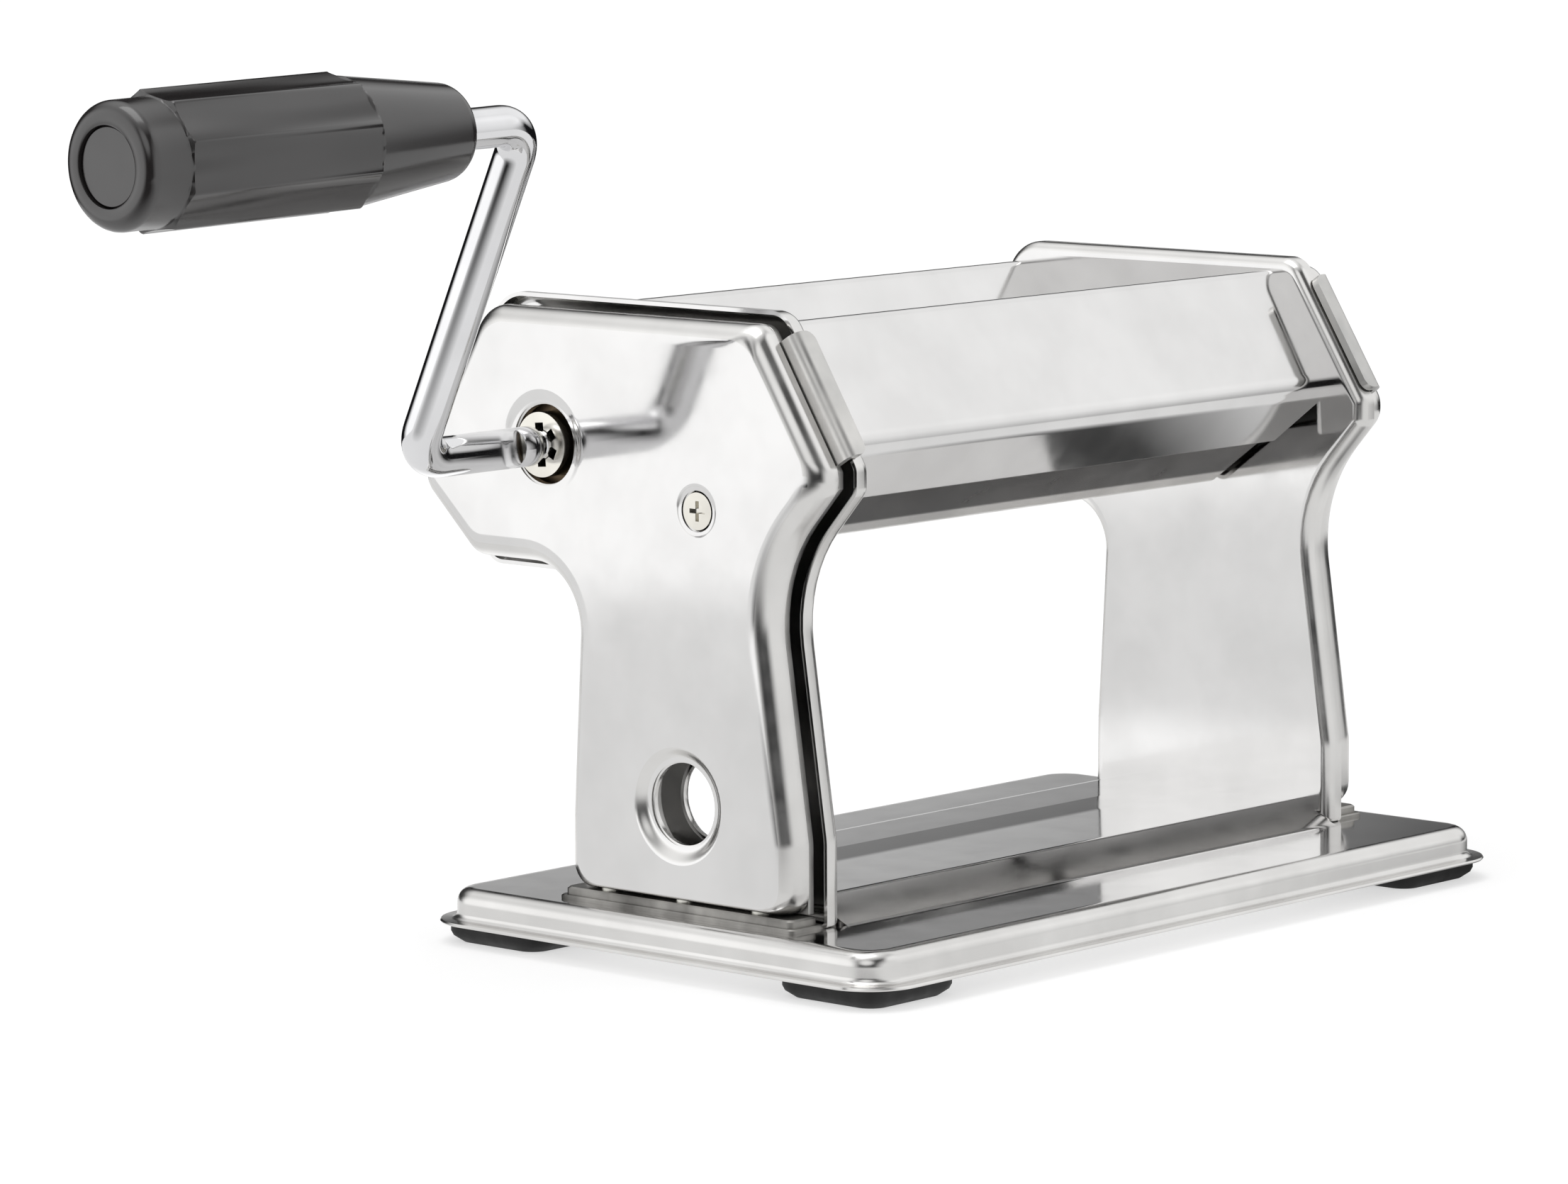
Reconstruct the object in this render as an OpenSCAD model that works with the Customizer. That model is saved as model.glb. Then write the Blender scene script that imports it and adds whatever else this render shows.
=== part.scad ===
// Hand-cranked roller machine for sheets of pasta dough.
// X runs along the rollers with the crank at -X, -Y is the front, and the table is Z = 0.
// The origin is the middle of the standing plane under the base.

/* [Rollers] */
// Distance between the two polished inner panels
inner_w = 156; // [130:1:200]
// Height of both roller axes above the table
axis_z = 101.6; // [90:0.1:125]
// Y of the driven roller's axis
drive_y = 35; // [34:0.5:36]
// Radius of both rollers
roller_r = 13; // [10.5:0.1:15.6]
// Gap between the rollers at the thinnest setting
min_gap = 0.4; // [0.3:0.1:1]
// How far the front roller moves away for the thickest setting
gap_travel = 2.4; // [1.5:0.1:3]
// Space between each roller's end and the inner panel
roller_end_gap = 2.8; // [2.6:0.1:4]
// Radius of the front roller's journals and of the driven roller's knob-side journal
journal_r = 5.5; // [4.8:0.1:6]
// Radius of the driven roller's crank-side journal
drive_journal_r = 6.5; // [6:0.1:7]
// Running clearance of the journals, on the radius
running_fit = 0.05; // [0.02:0.01:0.1]

/* [Gears] */
// Teeth on each roller gear
gear_teeth = 12; // [12:2:14]
// Face width of the gears
gear_w = 3.6; // [2.5:0.1:3.8]
// Pressure angle of the teeth
pressure_angle = 25; // [20:1:27]
// Half of the backlash, as an angle at the gear's axis
backlash = 1.2; // [0.8:0.1:2]

/* [Head and legs] */
// Height of the head's top above the roller axes
head_up = 29; // [26:0.5:34]
// Reach of the head in front of the centre plane
head_front = 40.3; // [38:0.1:46]
// Reach of the head behind the centre plane
head_rear = 72; // [66:0.5:78]
// Length of the head's flat top, front part
top_front = 22; // [18:0.5:25]
// Length of the head's flat top, rear part
top_rear = 53.5; // [50:0.5:57]
// Half depth of the legs at the base
leg_half = 32.3; // [30:0.1:36]
// Half depth of the legs where they meet the head
neck_half = 26.5; // [24:0.1:29]
// Height of the straight part at the foot of the legs, above the table
leg_straight = 28; // [24:1:34]

/* [Sheet metal] */
// Thickness of the polished pressings
sheet_t = 0.8; // [0.6:0.1:1]
// Thickness of the galvanised side frames
frame_t = 1.6; // [1.2:0.1:2]
// Depth of the inner panel's outward flange
panel_flange = 4.4; // [3:0.1:5]
// Distance from the inner panel's face to the side frame
frame_offset = 5.2; // [5.2:0.1:6]
// Distance from the inner panel's face to the outer cover's face
side_w = 13; // [13:0.1:15]
// How much smaller the outer cover is than the inner panel, all round
cover_inset = 2.2; // [1.5:0.1:3]
// How much smaller the side frame is than the inner panel, all round
frame_inset = 2.6; // [2:0.1:4]
// How far the accessory rail stands off the head's front slope
rail_stand = 2; // [1.8:0.1:3]
// Length of the accessory rail along the slope
rail_l = 27; // [20:1:28]

/* [Base] */
// How far the base reaches past the outer covers at each end
base_end = 10.5; // [8:0.5:20]
// Depth of the base, front to rear
base_d = 122.6; // [112:0.2:140]
// Corner radius of the base's rim
base_corner_r = 11.4; // [8:0.2:16]
// Width of the rolled rim round the base
rim_w = 3.5; // [2.5:0.1:5]
// Height of the base's flat top above the table
base_top = 11; // [9:0.5:14]
// Height of the raised middle of the base above its flat top
plateau_h = 4.7; // [3:0.1:6]
// Thickness of the rubber feet below the rim
foot_h = 4; // [3:0.5:5]
// Side of a rubber foot
foot_w = 27; // [20:1:30]

/* [Clamp hole and cover screws] */
// Radius of the hole for the table clamp's hook
clamp_r = 8.2; // [7:0.1:9]
// Height of the clamp hole above the table
clamp_z = 33; // [31:0.5:40]
// Y of the clamp hole
clamp_y = -0.9; // [-3:0.1:3]
// Distance of the outer cover's screw in front of the front roller's axis
cover_screw_ahead = 14.9; // [14.6:0.1:15.6]
// Drop of the outer cover's screw below the roller axes
cover_screw_drop = 10.2; // [10:0.1:12]

/* [Crank] */
// Diameter of the bent crank rod
rod_d = 8; // [6.6:0.1:9]
// Distance from the roller axis to the handle's axis
crank_arm = 73.4; // [60:0.1:90]
// Lean of the crank arm towards the front
crank_lean = 25; // [0:1:360]
// Distance from the outer cover's face to the crank arm
crank_reach = 36; // [28:0.5:45]
// Radius of the rod's bends, to its centre line
bend_r = 7; // [6:0.5:12]
// Angle by which the handle's axis leans back to the hub's
handle_droop = 1.6; // [0:0.1:3]
// Radius of the crank's tang in the socket
tang_r = 3; // [2.5:0.1:3.1]
// Depth of the socket that takes the tang
socket_depth = 16.5; // [14:0.5:18]

/* [Handle] */
// Distance from the crank arm to the handle
handle_start = 20; // [14:0.5:30]
// Length of the handle's smooth taper
taper_l = 29; // [20:0.5:35]
// Length of the handle's fluted grip
grip_l = 47; // [40:0.5:60]
// Length of the handle's smooth end collar
collar_l = 10; // [9:0.5:14]
// Radius of the grip over its ridges
grip_r = 13.4; // [13:0.1:15]
// Radius of the end collar
collar_r = 11.9; // [11:0.1:12.5]
// Radius of the taper's small end
taper_r = 9; // [8:0.1:10]
// Number of flutes round the grip
flutes = 9; // [7:1:12]
// Depth of the flutes
flute_depth = 1.3; // [0.6:0.1:1.5]

/* [Thickness adjuster] */
// Radius of the knob's skirt
knob_r = 15; // [13:0.5:16]
// Length of the knob
knob_l = 21; // [19:0.5:24]
// How far the knob pulls out
knob_pull = 4; // [2:0.5:5]
// Number of thickness settings over half a turn
settings = 9; // [5:1:10]
// Radius of the rod that joins the two cams
link_r = 2.5; // [2:0.1:2.6]
// Radius of the cams
cam_r = 5; // [4.5:0.1:5.2]

/* [Hidden] */

$fn = 64;
// Overshoot of a cut past the face that it opens
cut = 1;
// Working clearance between parts that move past each other
clear = 0.3;

// Stations along X, measured on the +X side
panel_x = inner_w / 2;
frame_x = panel_x + frame_offset;
frame_out = frame_x + frame_t;
cover_x = panel_x + side_w;
cover_in = cover_x - sheet_t;
cover_lip = frame_out + 0.4;
roller_x = panel_x - roller_end_gap;

// Places in the YZ plane
adjust_y = drive_y - 2 * roller_r - min_gap;
throw = gap_travel / 2;
knob_y = adjust_y - throw;
head_top = axis_z + head_up;
cover_screw_y = adjust_y - cover_screw_ahead;
cover_screw_z = axis_z - cover_screw_drop;

// Corners of the head and legs as [y, z, radius], from the top front down and round
neck_top = axis_z - 22.9;
chin_z = axis_z - 26.2;
side_corners = [
    [-top_front, head_top, 6],
    [-head_front, axis_z - 0.1, 3.5],
    [-head_front, axis_z - 5.1, 3],
    [1.8 - neck_half, neck_top, 28],
    [-leg_half, leg_straight, 15],
    [-leg_half, base_top, 1],
    [leg_half - 0.3, base_top, 1],
    [leg_half - 0.5, leg_straight, 15],
    [neck_half + 2.5, chin_z, 10.7],
    [head_rear - 15.2, chin_z, 5],
    [head_rear, axis_z - 11.7, 7],
    [head_rear, axis_z - 2.6, 9],
    [top_rear, head_top, 9],
];

// Direction of the head's front slope, and its outward normal
slope_dir = unit([side_corners[1][0] - side_corners[0][0], side_corners[1][1] - side_corners[0][1]]);
slope_out = [slope_dir[1], -slope_dir[0]];
slope_start = [side_corners[0][0], side_corners[0][1]];
rail_from = 5.3;

// Roller gears
pitch_r = (2 * roller_r + min_gap) / 2;
tooth_module = 2 * pitch_r / gear_teeth;
base_r = pitch_r * cos(pressure_angle);
tip_r = pitch_r + 0.8 * tooth_module;
root_r = pitch_r - 1.05 * tooth_module;
gear_x = panel_x + sheet_t + clear;

// Bearing blocks, cams and the bridges over them
block_half_y = 8;
block_half_z = 10;
neck_half_y = 7;
neck_half_z = 8;
guide_half_y = neck_half_y + clear;
guide_half_z = neck_half_z + running_fit;
block_x = frame_out + 0.2;
cam_x = frame_out + 1.2;
cam_w = 1.8;
block_end = cam_x + cam_w + 0.2;
bridge_x = block_end + 0.4;
bridge_w = 1.2;
post_z = 15;
journal_end = cam_x - 0.2;
cam_slot_y = 2 * (cam_r + 0.22 * throw + 0.15);
cam_slot_z = 2 * (cam_r + throw + 0.2);

// Knob stations along X
dial_w = 1;
dial_r = 19;
knob_x = cover_x + dial_w + 0.8;
spring_x = knob_x + 5.5;
spring_l = 10.5;
washer_x = spring_x + spring_l;
washer_w = 1;
spindle_r = 3.5;
detent_r = 10.5;

// Crank stations
spigot_r = 5.1;
rod_r = rod_d / 2;
arm_x = cover_x + crank_reach;
tang_x = cover_x + 0.5 - socket_depth + 1;
shoulder_x = cover_x + 2.5;
upper_turn = 90 + handle_droop;
upper_run = bend_r * tan(upper_turn / 2);
handle_end = handle_start + taper_l + grip_l + collar_l;
plug_r = 7.4;
plug_w = 2.4;
plug_recess = 0.8;
rivet_s = handle_end - plug_recess - plug_w - 3.5;
// Turn of the grip on the rod at rest
flute_turn = 17;

function unit(v) = v / norm(v);
function left_of(v) = [-v[1], v[0]];
function xy(p) = [p[0], p[1]];

// Points of the arc that rounds corner b between a and c
function corner_arc(a, b, c) =
    let (u = unit(xy(a) - xy(b)), v = unit(xy(c) - xy(b)), half = acos(u * v) / 2)
    let (start = xy(b) + u * b[2] / tan(half), mid = xy(b) + unit(u + v) * b[2] / sin(half))
    let (turn = 180 - 2 * half, way = cross(u, v) > 0 ? -1 : 1, from = start - mid)
    let (first = atan2(from[1], from[0]), steps = max(2, ceil(turn / 12)))
    [for (k = [0:steps]) let (a = first + way * turn * k / steps) mid + b[2] * [cos(a), sin(a)]];

// Outline of a closed list of corners [y, z, radius]
function rounded(c) =
    let (n = len(c))
    [for (i = [0:n - 1], p = corner_arc(c[(i + n - 1) % n], c[i], c[(i + 1) % n])) p];

// The same closed list of corners, moved inwards by d
function inset(c, d) =
    let (n = len(c))
    [for (i = [0:n - 1])
        let (before = unit(xy(c[i]) - xy(c[(i + n - 1) % n])), after = unit(xy(c[(i + 1) % n]) - xy(c[i])))
        let (n1 = left_of(before), n2 = left_of(after))
        let (r = c[i][2] + (cross(before, after) > 0 ? -d : d))
        concat(xy(c[i]) + (n1 + n2) * d / (1 + n1 * n2), [max(r, 0.4)])];

// An open path with its inner corners rounded
function rounded_path(c) =
    let (n = len(c))
    concat([xy(c[0])], [for (i = [1:n - 2], p = corner_arc(c[i - 1], c[i], c[i + 1])) p], [xy(c[n - 1])]);

// Offset of point i of an open path, to its left
function path_normal(p, i) =
    let (n = len(p), a = max(i - 1, 0), b = min(i + 1, n - 1))
    let (n1 = left_of(unit(p[i == 0 ? 1 : i] - p[a])), n2 = left_of(unit(p[b] - p[i == n - 1 ? n - 2 : i])))
    (n1 + n2) / (1 + n1 * n2);

// Closed outline of a bent sheet of thickness t whose left face is the path
function bent_sheet(c, t) =
    let (p = rounded_path(c), n = len(p))
    concat(p, [for (i = [n - 1:-1:0]) p[i] - t * path_normal(p, i)]);

function slope_point(along, out) = slope_start + along * slope_dir + out * slope_out;

// Extrudes a YZ outline from x0 to x1
module along_x(x0, x1) {
    translate([x0, 0, 0]) rotate([90, 0, 90]) linear_extrude(x1 - x0) children();
}

// Cylinder along X at [y, z]
module rod_x(p, r, x0, x1) {
    translate([x0, p[0], p[1]]) rotate([0, 90, 0]) cylinder(r = r, h = x1 - x0);
}

// Cone along X at [y, z]
module cone_x(p, r0, r1, x0, x1) {
    translate([x0, p[0], p[1]]) rotate([0, 90, 0]) cylinder(r1 = r0, r2 = r1, h = x1 - x0);
}

// Puts a piece that is drawn on the +X side on the chosen side
module on_side(side) {
    mirror([side < 0 ? 1 : 0, 0, 0]) children();
}

module rounded_slab(l, d, r, z0, z1) {
    translate([0, 0, z0]) linear_extrude(z1 - z0) union() {
        square([l - 2 * r, d], center = true);
        square([l, d - 2 * r], center = true);
        for (x = [-1, 1], y = [-1, 1]) translate([x * (l / 2 - r), y * (d / 2 - r)]) circle(r = r);
    }
}

// ---- Base ----

base_l = 2 * (cover_x + base_end);
rivet_x = (cover_lip + cover_in) / 2;
rivet_spots = [-20, 0, 20];
foot_flange_d = 2 * leg_half - 4;
plateau_front = 34;
plateau_edge = 24;

function plateau_outline(t) = [
    [-plateau_front + t, base_top - 2], [-plateau_front + t, base_top - t],
    [-plateau_edge + t / 2, base_top + plateau_h - t], [plateau_edge - t / 2, base_top + plateau_h - t],
    [plateau_front - t, base_top - t], [plateau_front - t, base_top - 2]];

// Slab as large as the base, less the margin m all round
module base_tray(m, z0, z1) {
    rounded_slab(base_l - 2 * m, base_d - 2 * m, base_corner_r - m, z0, z1);
}

module base_plate() {
    color("silver") difference() {
        union() {
            base_tray(0, foot_h, foot_h + sheet_t);
            base_tray(rim_w, foot_h, base_top - 1.8);
            base_tray(rim_w + 1, foot_h, base_top);
            along_x(-panel_x, panel_x) polygon(plateau_outline(0));
        }
        base_tray(rim_w + 1 + sheet_t, foot_h - cut, base_top - sheet_t);
        along_x(sheet_t - panel_x, panel_x - sheet_t) polygon(plateau_outline(sheet_t));
        for (x = [-rivet_x, rivet_x], y = rivet_spots)
            translate([x, y, base_top - 3]) cylinder(r = 1.5, h = 4);
    }
}

module rubber_feet() {
    color([0.05, 0.05, 0.05])
        for (x = [-1, 1], y = [-1, 1])
            translate([x * (base_l / 2 - 3 - foot_w / 2), y * (base_d / 2 - 3 - foot_w / 2), 0]) {
                rounded_slab(foot_w, foot_w, 5, 0, foot_h);
                translate([-x * 2, -y * 2, 0])
                    rounded_slab(foot_w - 5, foot_w - 5, 4, foot_h, base_top - sheet_t);
            }
}

module base_rivets() {
    color("gray")
        for (x = [-rivet_x, rivet_x], y = rivet_spots) translate([x, y, 0]) {
            translate([0, 0, base_top - sheet_t - 1.3]) cylinder(r = 2.2, h = 1.3);
            translate([0, 0, base_top - sheet_t]) cylinder(r = 1.5, h = 2 * sheet_t + frame_t);
            translate([0, 0, base_top + sheet_t + frame_t]) cylinder(r = 2.1, h = 1.3);
        }
}

// ---- Sides ----

tie_spots = [[adjust_y - 29.6, axis_z + 5.4], [58, axis_z + 2.4], [54, axis_z - 11.6]];
tie_r = 3.5;
cover_screw = [cover_screw_y, cover_screw_z];

// Slot that the front roller's journal moves along
module journal_slot(r, x0, x1) {
    rod_x([adjust_y, axis_z], r, x0, x1);
    rod_x([adjust_y - gap_travel, axis_z], r, x0, x1);
    translate([x0, adjust_y - gap_travel, axis_z - r]) cube([x1 - x0, gap_travel, 2 * r]);
}

module inner_panel(side) {
    drive_hole = (side < 0 ? drive_journal_r : journal_r) + 0.6;
    on_side(side) difference() {
        union() {
            along_x(panel_x, panel_x + panel_flange) polygon(rounded(side_corners));
            translate([panel_x, -foot_flange_d / 2 - 1, base_top])
                cube([side_w + 0.4, foot_flange_d + 2, sheet_t]);
        }
        difference() {
            along_x(panel_x + sheet_t, panel_x + panel_flange + cut)
                polygon(rounded(inset(side_corners, sheet_t)));
            if (side < 0) rod_x([clamp_y, clamp_z], clamp_r + sheet_t, panel_x, panel_x + 2.4);
        }
        rod_x([drive_y, axis_z], drive_hole, panel_x - cut, panel_x + 2);
        journal_slot(journal_r + 0.6, panel_x - cut, panel_x + 2);
        for (p = tie_spots) rod_x(p, tie_r + clear, panel_x - cut, panel_x + 2);
        if (side < 0) rod_x([clamp_y, clamp_z], clamp_r, panel_x - cut, panel_x + 5);
        for (y = rivet_spots) translate([rivet_x, y, base_top - cut]) cylinder(r = 1.5, h = 3);
    }
}

module inner_panel_left() { color("gainsboro") inner_panel(-1); }
module inner_panel_right() { color("gainsboro") inner_panel(1); }

// Strip along the front slope from its outer face, rail_stand proud, down to the given level
function slope_strip(inner) = [
    slope_point(rail_from, rail_stand), slope_point(rail_from + rail_l, rail_stand),
    slope_point(rail_from + rail_l, inner), slope_point(rail_from, inner)];

module side_frame(side) {
    foot_z = base_top + sheet_t;
    color("darkgray") on_side(side) difference() {
        union() {
            intersection() {
                along_x(frame_x, frame_out) polygon(rounded(inset(side_corners, frame_inset)));
                translate([frame_x - cut, -100, foot_z]) cube([frame_t + 2 * cut, 200, 200]);
            }
            translate([frame_x, -foot_flange_d / 2, foot_z])
                cube([side_w - frame_offset, foot_flange_d, frame_t]);
            along_x(frame_x, frame_out) polygon(slope_strip(-frame_inset - 2));
            along_x(panel_x + frame_t, frame_out) polygon(slope_strip(rail_stand - frame_t));
        }
        rod_x([drive_y, axis_z], 9, frame_x - cut, frame_out + cut);
        translate([frame_x - cut, adjust_y - gap_travel - guide_half_y, axis_z - guide_half_z])
            cube([frame_t + 2 * cut, gap_travel + 2 * guide_half_y, 2 * guide_half_z]);
        for (p = tie_spots) rod_x(p, 2.2, frame_x - cut, frame_out + cut);
        for (z = [-post_z, post_z]) cone_x([knob_y, axis_z + z], 3, 1.4, frame_x, frame_out);
        rod_x(cover_screw, 1.8, frame_x - cut, frame_out + cut);
        if (side < 0) rod_x([clamp_y, clamp_z], clamp_r + 0.8, frame_x - cut, frame_out + cut);
        for (y = rivet_spots) translate([rivet_x, y, foot_z - cut]) cylinder(r = 1.5, h = 4);
    }
}

module side_frame_left() { side_frame(-1); }
module side_frame_right() { side_frame(1); }

// The cover's outline runs on below its lower edge, which is cut level and left open
cover_bottom = base_top + sheet_t + frame_t + 0.2;
cover_corners = [for (i = [0:len(side_corners) - 1])
    let (c = side_corners[i]) i == 5 || i == 6 ? [c[0], 0, c[2]] : c];

module outer_cover(side) {
    outline = inset(cover_corners, cover_inset);
    on_side(side) difference() {
        union() {
            difference() {
                along_x(cover_lip, cover_x) polygon(rounded(outline));
                along_x(cover_lip - cut, cover_in) polygon(rounded(inset(outline, sheet_t)));
                translate([cover_lip - cut, -100, 0]) cube([side_w, 200, cover_bottom]);
            }
            if (side < 0) rod_x([clamp_y, clamp_z], clamp_r + sheet_t, cover_x - 3, cover_x);
            rod_x(cover_screw, 4.6, cover_x - 2.6, cover_x - 0.4);
        }
        if (side < 0) {
            rod_x([drive_y, axis_z], 8, cover_in - cut, cover_x + cut);
            rod_x([clamp_y, clamp_z], clamp_r, cover_x - 4, cover_x + cut);
        } else {
            rod_x([knob_y, axis_z], spindle_r + 0.8, cover_in - cut, cover_x + cut);
            for (y = [-1, 1]) rod_x([knob_y + y * 15.5, axis_z], 1, cover_in - cut, cover_x + cut);
        }
        cone_x(cover_screw, 2.1, 3.8, cover_x - 2, cover_x - 0.2);
        rod_x(cover_screw, 3.8, cover_x - 0.2, cover_x + cut);
        rod_x(cover_screw, 2.1, cover_x - 4, cover_x - 1.9);
    }
}

module outer_cover_left() { color("gainsboro") outer_cover(-1); }
module outer_cover_right() { color("gainsboro") outer_cover(1); }

module cover_posts() {
    color("gray") for (side = [-1, 1]) on_side(side) difference() {
        union() {
            rod_x(cover_screw, 2.9, frame_out, cover_x - 2.6);
            rod_x(cover_screw, 1.8, frame_x, frame_out);
        }
        rod_x(cover_screw, 1.2, frame_out, cover_x);
    }
}

module cover_screws() {
    color("silver") for (side = [-1, 1]) on_side(side) difference() {
        union() {
            cone_x(cover_screw, 2.1, 3.7, cover_x - 2, cover_x - 0.3);
            rod_x(cover_screw, 1.2, frame_out + 0.5, cover_x - 2);
        }
        for (a = [0, 90])
            translate([cover_x, cover_screw[0], cover_screw[1]]) rotate([a, 0, 0])
                cube([2.6, 4, 0.9], center = true);
    }
}

// ---- Guards, scrapers and ties ----

// Bent sheets, as [y, z, radius], left face outside
guard_ridge = adjust_y - 25;
front_guard_path = [
    [guard_ridge + 12.4, axis_z + roller_r - 1.6],
    [guard_ridge, axis_z + 26.2, 1.6],
    [guard_ridge - 14.2, axis_z + 2.5, 2],
    [guard_ridge - 6.4, axis_z - 8.6]];
rear_guard_path = [
    [drive_y + 20, axis_z - 18.4],
    [64.5, axis_z - 9.6, 2],
    [64.5, axis_z + 1.9, 3],
    [drive_y + 16.8, axis_z + 25, 1.6],
    [drive_y + 9.6, axis_z + roller_r - 0.4]];

// The lower corner of the front guard is cut off at 45 degrees at each end
module front_guard() {
    corner = 8 * sqrt(2);
    color("gainsboro") difference() {
        along_x(-panel_x, panel_x) polygon(bent_sheet(front_guard_path, sheet_t));
        for (side = [-1, 1]) on_side(side)
            translate([panel_x, guard_ridge - 10, axis_z - 8.6]) rotate([0, 45, 0])
                cube([corner, 30, corner], center = true);
    }
}

module rear_guard() {
    color("gainsboro") along_x(-panel_x, panel_x) polygon(bent_sheet(rear_guard_path, sheet_t));
}

// Cheek plate that hangs a scraper on a journal
module scraper_cheek(y, hole_r, foot) {
    difference() {
        union() {
            rod_x([y, axis_z], hole_r + 2.6, roller_x + 0.4, roller_x + 1.6);
            along_x(roller_x + 0.4, roller_x + 1.6) polygon(foot);
        }
        rod_x([y, axis_z], hole_r, roller_x, roller_x + 2);
    }
}

lip_z = axis_z - roller_r - 6.6;
scraper_tip = [-5, -roller_r + 0.4];

module front_scraper() {
    lip_y = adjust_y - 9.6;
    path = [[adjust_y + scraper_tip[0], axis_z + scraper_tip[1]], [lip_y, lip_z, 2],
            [adjust_y - 26.6, axis_z - 7]];
    foot = [[adjust_y - 7, axis_z - 2], [adjust_y - 14, axis_z - 12], [lip_y + 1, lip_z + 1.6],
            [adjust_y + scraper_tip[0] - 0.6, axis_z + scraper_tip[1] + 0.2], [adjust_y + 7, axis_z - 2]];
    color("silver") {
        along_x(-roller_x - 0.4, roller_x + 0.4) polygon(bent_sheet(path, -sheet_t));
        for (side = [-1, 1]) on_side(side) scraper_cheek(adjust_y, journal_r + clear, foot);
    }
}

module rear_scraper() {
    lip_y = drive_y + 9.6;
    path = [[drive_y - scraper_tip[0], axis_z + scraper_tip[1]], [lip_y, lip_z, 2],
            [drive_y + 15.5, axis_z - 16.4]];
    foot = [[drive_y - 7, axis_z - 2], [drive_y - scraper_tip[0] + 0.6, axis_z + scraper_tip[1] + 0.2],
            [lip_y - 1, lip_z + 1.6], [drive_y + 14, axis_z - 12], [drive_y + 7, axis_z - 2]];
    color("silver") {
        along_x(-roller_x - 0.4, roller_x + 0.4) polygon(bent_sheet(path, sheet_t));
        for (side = [-1, 1]) on_side(side)
            scraper_cheek(drive_y, (side < 0 ? drive_journal_r : journal_r) + clear, foot);
    }
}

module tie_rods() {
    color("gray") for (p = tie_spots) difference() {
        rod_x(p, tie_r, -frame_x, frame_x);
        for (side = [-1, 1]) on_side(side) rod_x(p, 2, frame_x - 10, frame_x + cut);
    }
}

module tie_rod_screws() {
    color("gray") for (p = tie_spots, side = [-1, 1]) on_side(side) {
        difference() {
            union() {
                rod_x(p, 2, frame_x - 10, frame_out);
                rod_x(p, 3.6, frame_out, frame_out + 2.4);
            }
            translate([frame_out + 1.4, p[0] - 0.5, p[1] - 4]) cube([2, 1, 8]);
        }
    }
}

module drive_bush(side) {
    bore = (side < 0 ? drive_journal_r : journal_r) + running_fit;
    on_side(side) difference() {
        union() {
            rod_x([drive_y, axis_z], 9, frame_x, frame_out);
            rod_x([drive_y, axis_z], 11, frame_out, frame_out + 1.4);
        }
        rod_x([drive_y, axis_z], bore, frame_x - cut, frame_out + 3);
    }
}

module drive_bush_left() { color("darkgoldenrod") drive_bush(-1); }
module drive_bush_right() { color("darkgoldenrod") drive_bush(1); }

// ---- Driven roller ----

module drive_roller() {
    color("silver") difference() {
        union() {
            rod_x([drive_y, axis_z], roller_r, -roller_x, roller_x);
            rod_x([drive_y, axis_z], drive_journal_r, -frame_out - 2, -roller_x);
            rod_x([drive_y, axis_z], journal_r, roller_x, frame_out + 2);
        }
        rod_x([drive_y, axis_z], spigot_r, -frame_out - 3, -cover_x + socket_depth + 1);
        rod_x([drive_y, axis_z], 2, -cover_x + socket_depth, frame_out + 3);
    }
}

function involute(a) = tan(a) * 180 / PI - a;
function tooth_half(r) =
    90 / gear_teeth - backlash + involute(pressure_angle) - involute(acos(min(1, base_r / r)));
function polar(r, a) = [r * cos(a), r * sin(a)];

// Outline of a gear with one tooth centred at the given angle
function gear_outline(first) = [
    for (k = [0:gear_teeth - 1])
        let (mid = first + k * 360 / gear_teeth, rise = [0:0.25:1])
        for (p = concat(
                [polar(root_r, mid - tooth_half(base_r))],
                [for (t = rise) let (r = base_r + t * (tip_r - base_r)) polar(r, mid - tooth_half(r))],
                [for (t = rise) let (r = tip_r + t * (base_r - tip_r)) polar(r, mid + tooth_half(r))],
                [polar(root_r, mid + tooth_half(base_r))])) p];

module roller_gear(y, bore, first) {
    translate([0, y, axis_z]) mirror([1, 0, 0]) difference() {
        along_x(gear_x, gear_x + gear_w) polygon(gear_outline(first));
        rod_x([0, 0], bore, gear_x - cut, gear_x + gear_w + cut);
    }
}

module drive_gear() { color("dimgray") roller_gear(drive_y, drive_journal_r, 180); }

// Socket with three crossing slots for the crank's pin
module crank_socket() {
    color("silver") difference() {
        union() {
            rod_x([drive_y, axis_z], 6.5, -cover_x - 0.5, -frame_out - 2);
            rod_x([drive_y, axis_z], spigot_r, -frame_out - 2, -cover_x + socket_depth + 1);
        }
        rod_x([drive_y, axis_z], tang_r + 0.15, -cover_x - cut, -cover_x - 0.5 + socket_depth);
        for (a = [0, 60, 120])
            translate([-cover_x - cut, drive_y, axis_z]) rotate([a + crank_lean, 0, 0])
                translate([0, -4.4, -1.1]) cube([socket_depth - 1.5, 8.8, 2.2]);
    }
}

// ---- Front roller, its bearing blocks and its scraper ----

module adjustable_roller() {
    bore = link_r + throw + 0.4;
    color("silver") difference() {
        union() {
            rod_x([adjust_y, axis_z], roller_r, -roller_x, roller_x);
            rod_x([adjust_y, axis_z], journal_r, -journal_end, journal_end);
        }
        rod_x([adjust_y, axis_z], bore, -journal_end - cut, journal_end + cut);
    }
}

module adjustable_gear() { color("dimgray") roller_gear(adjust_y, journal_r, 180 / gear_teeth); }

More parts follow.
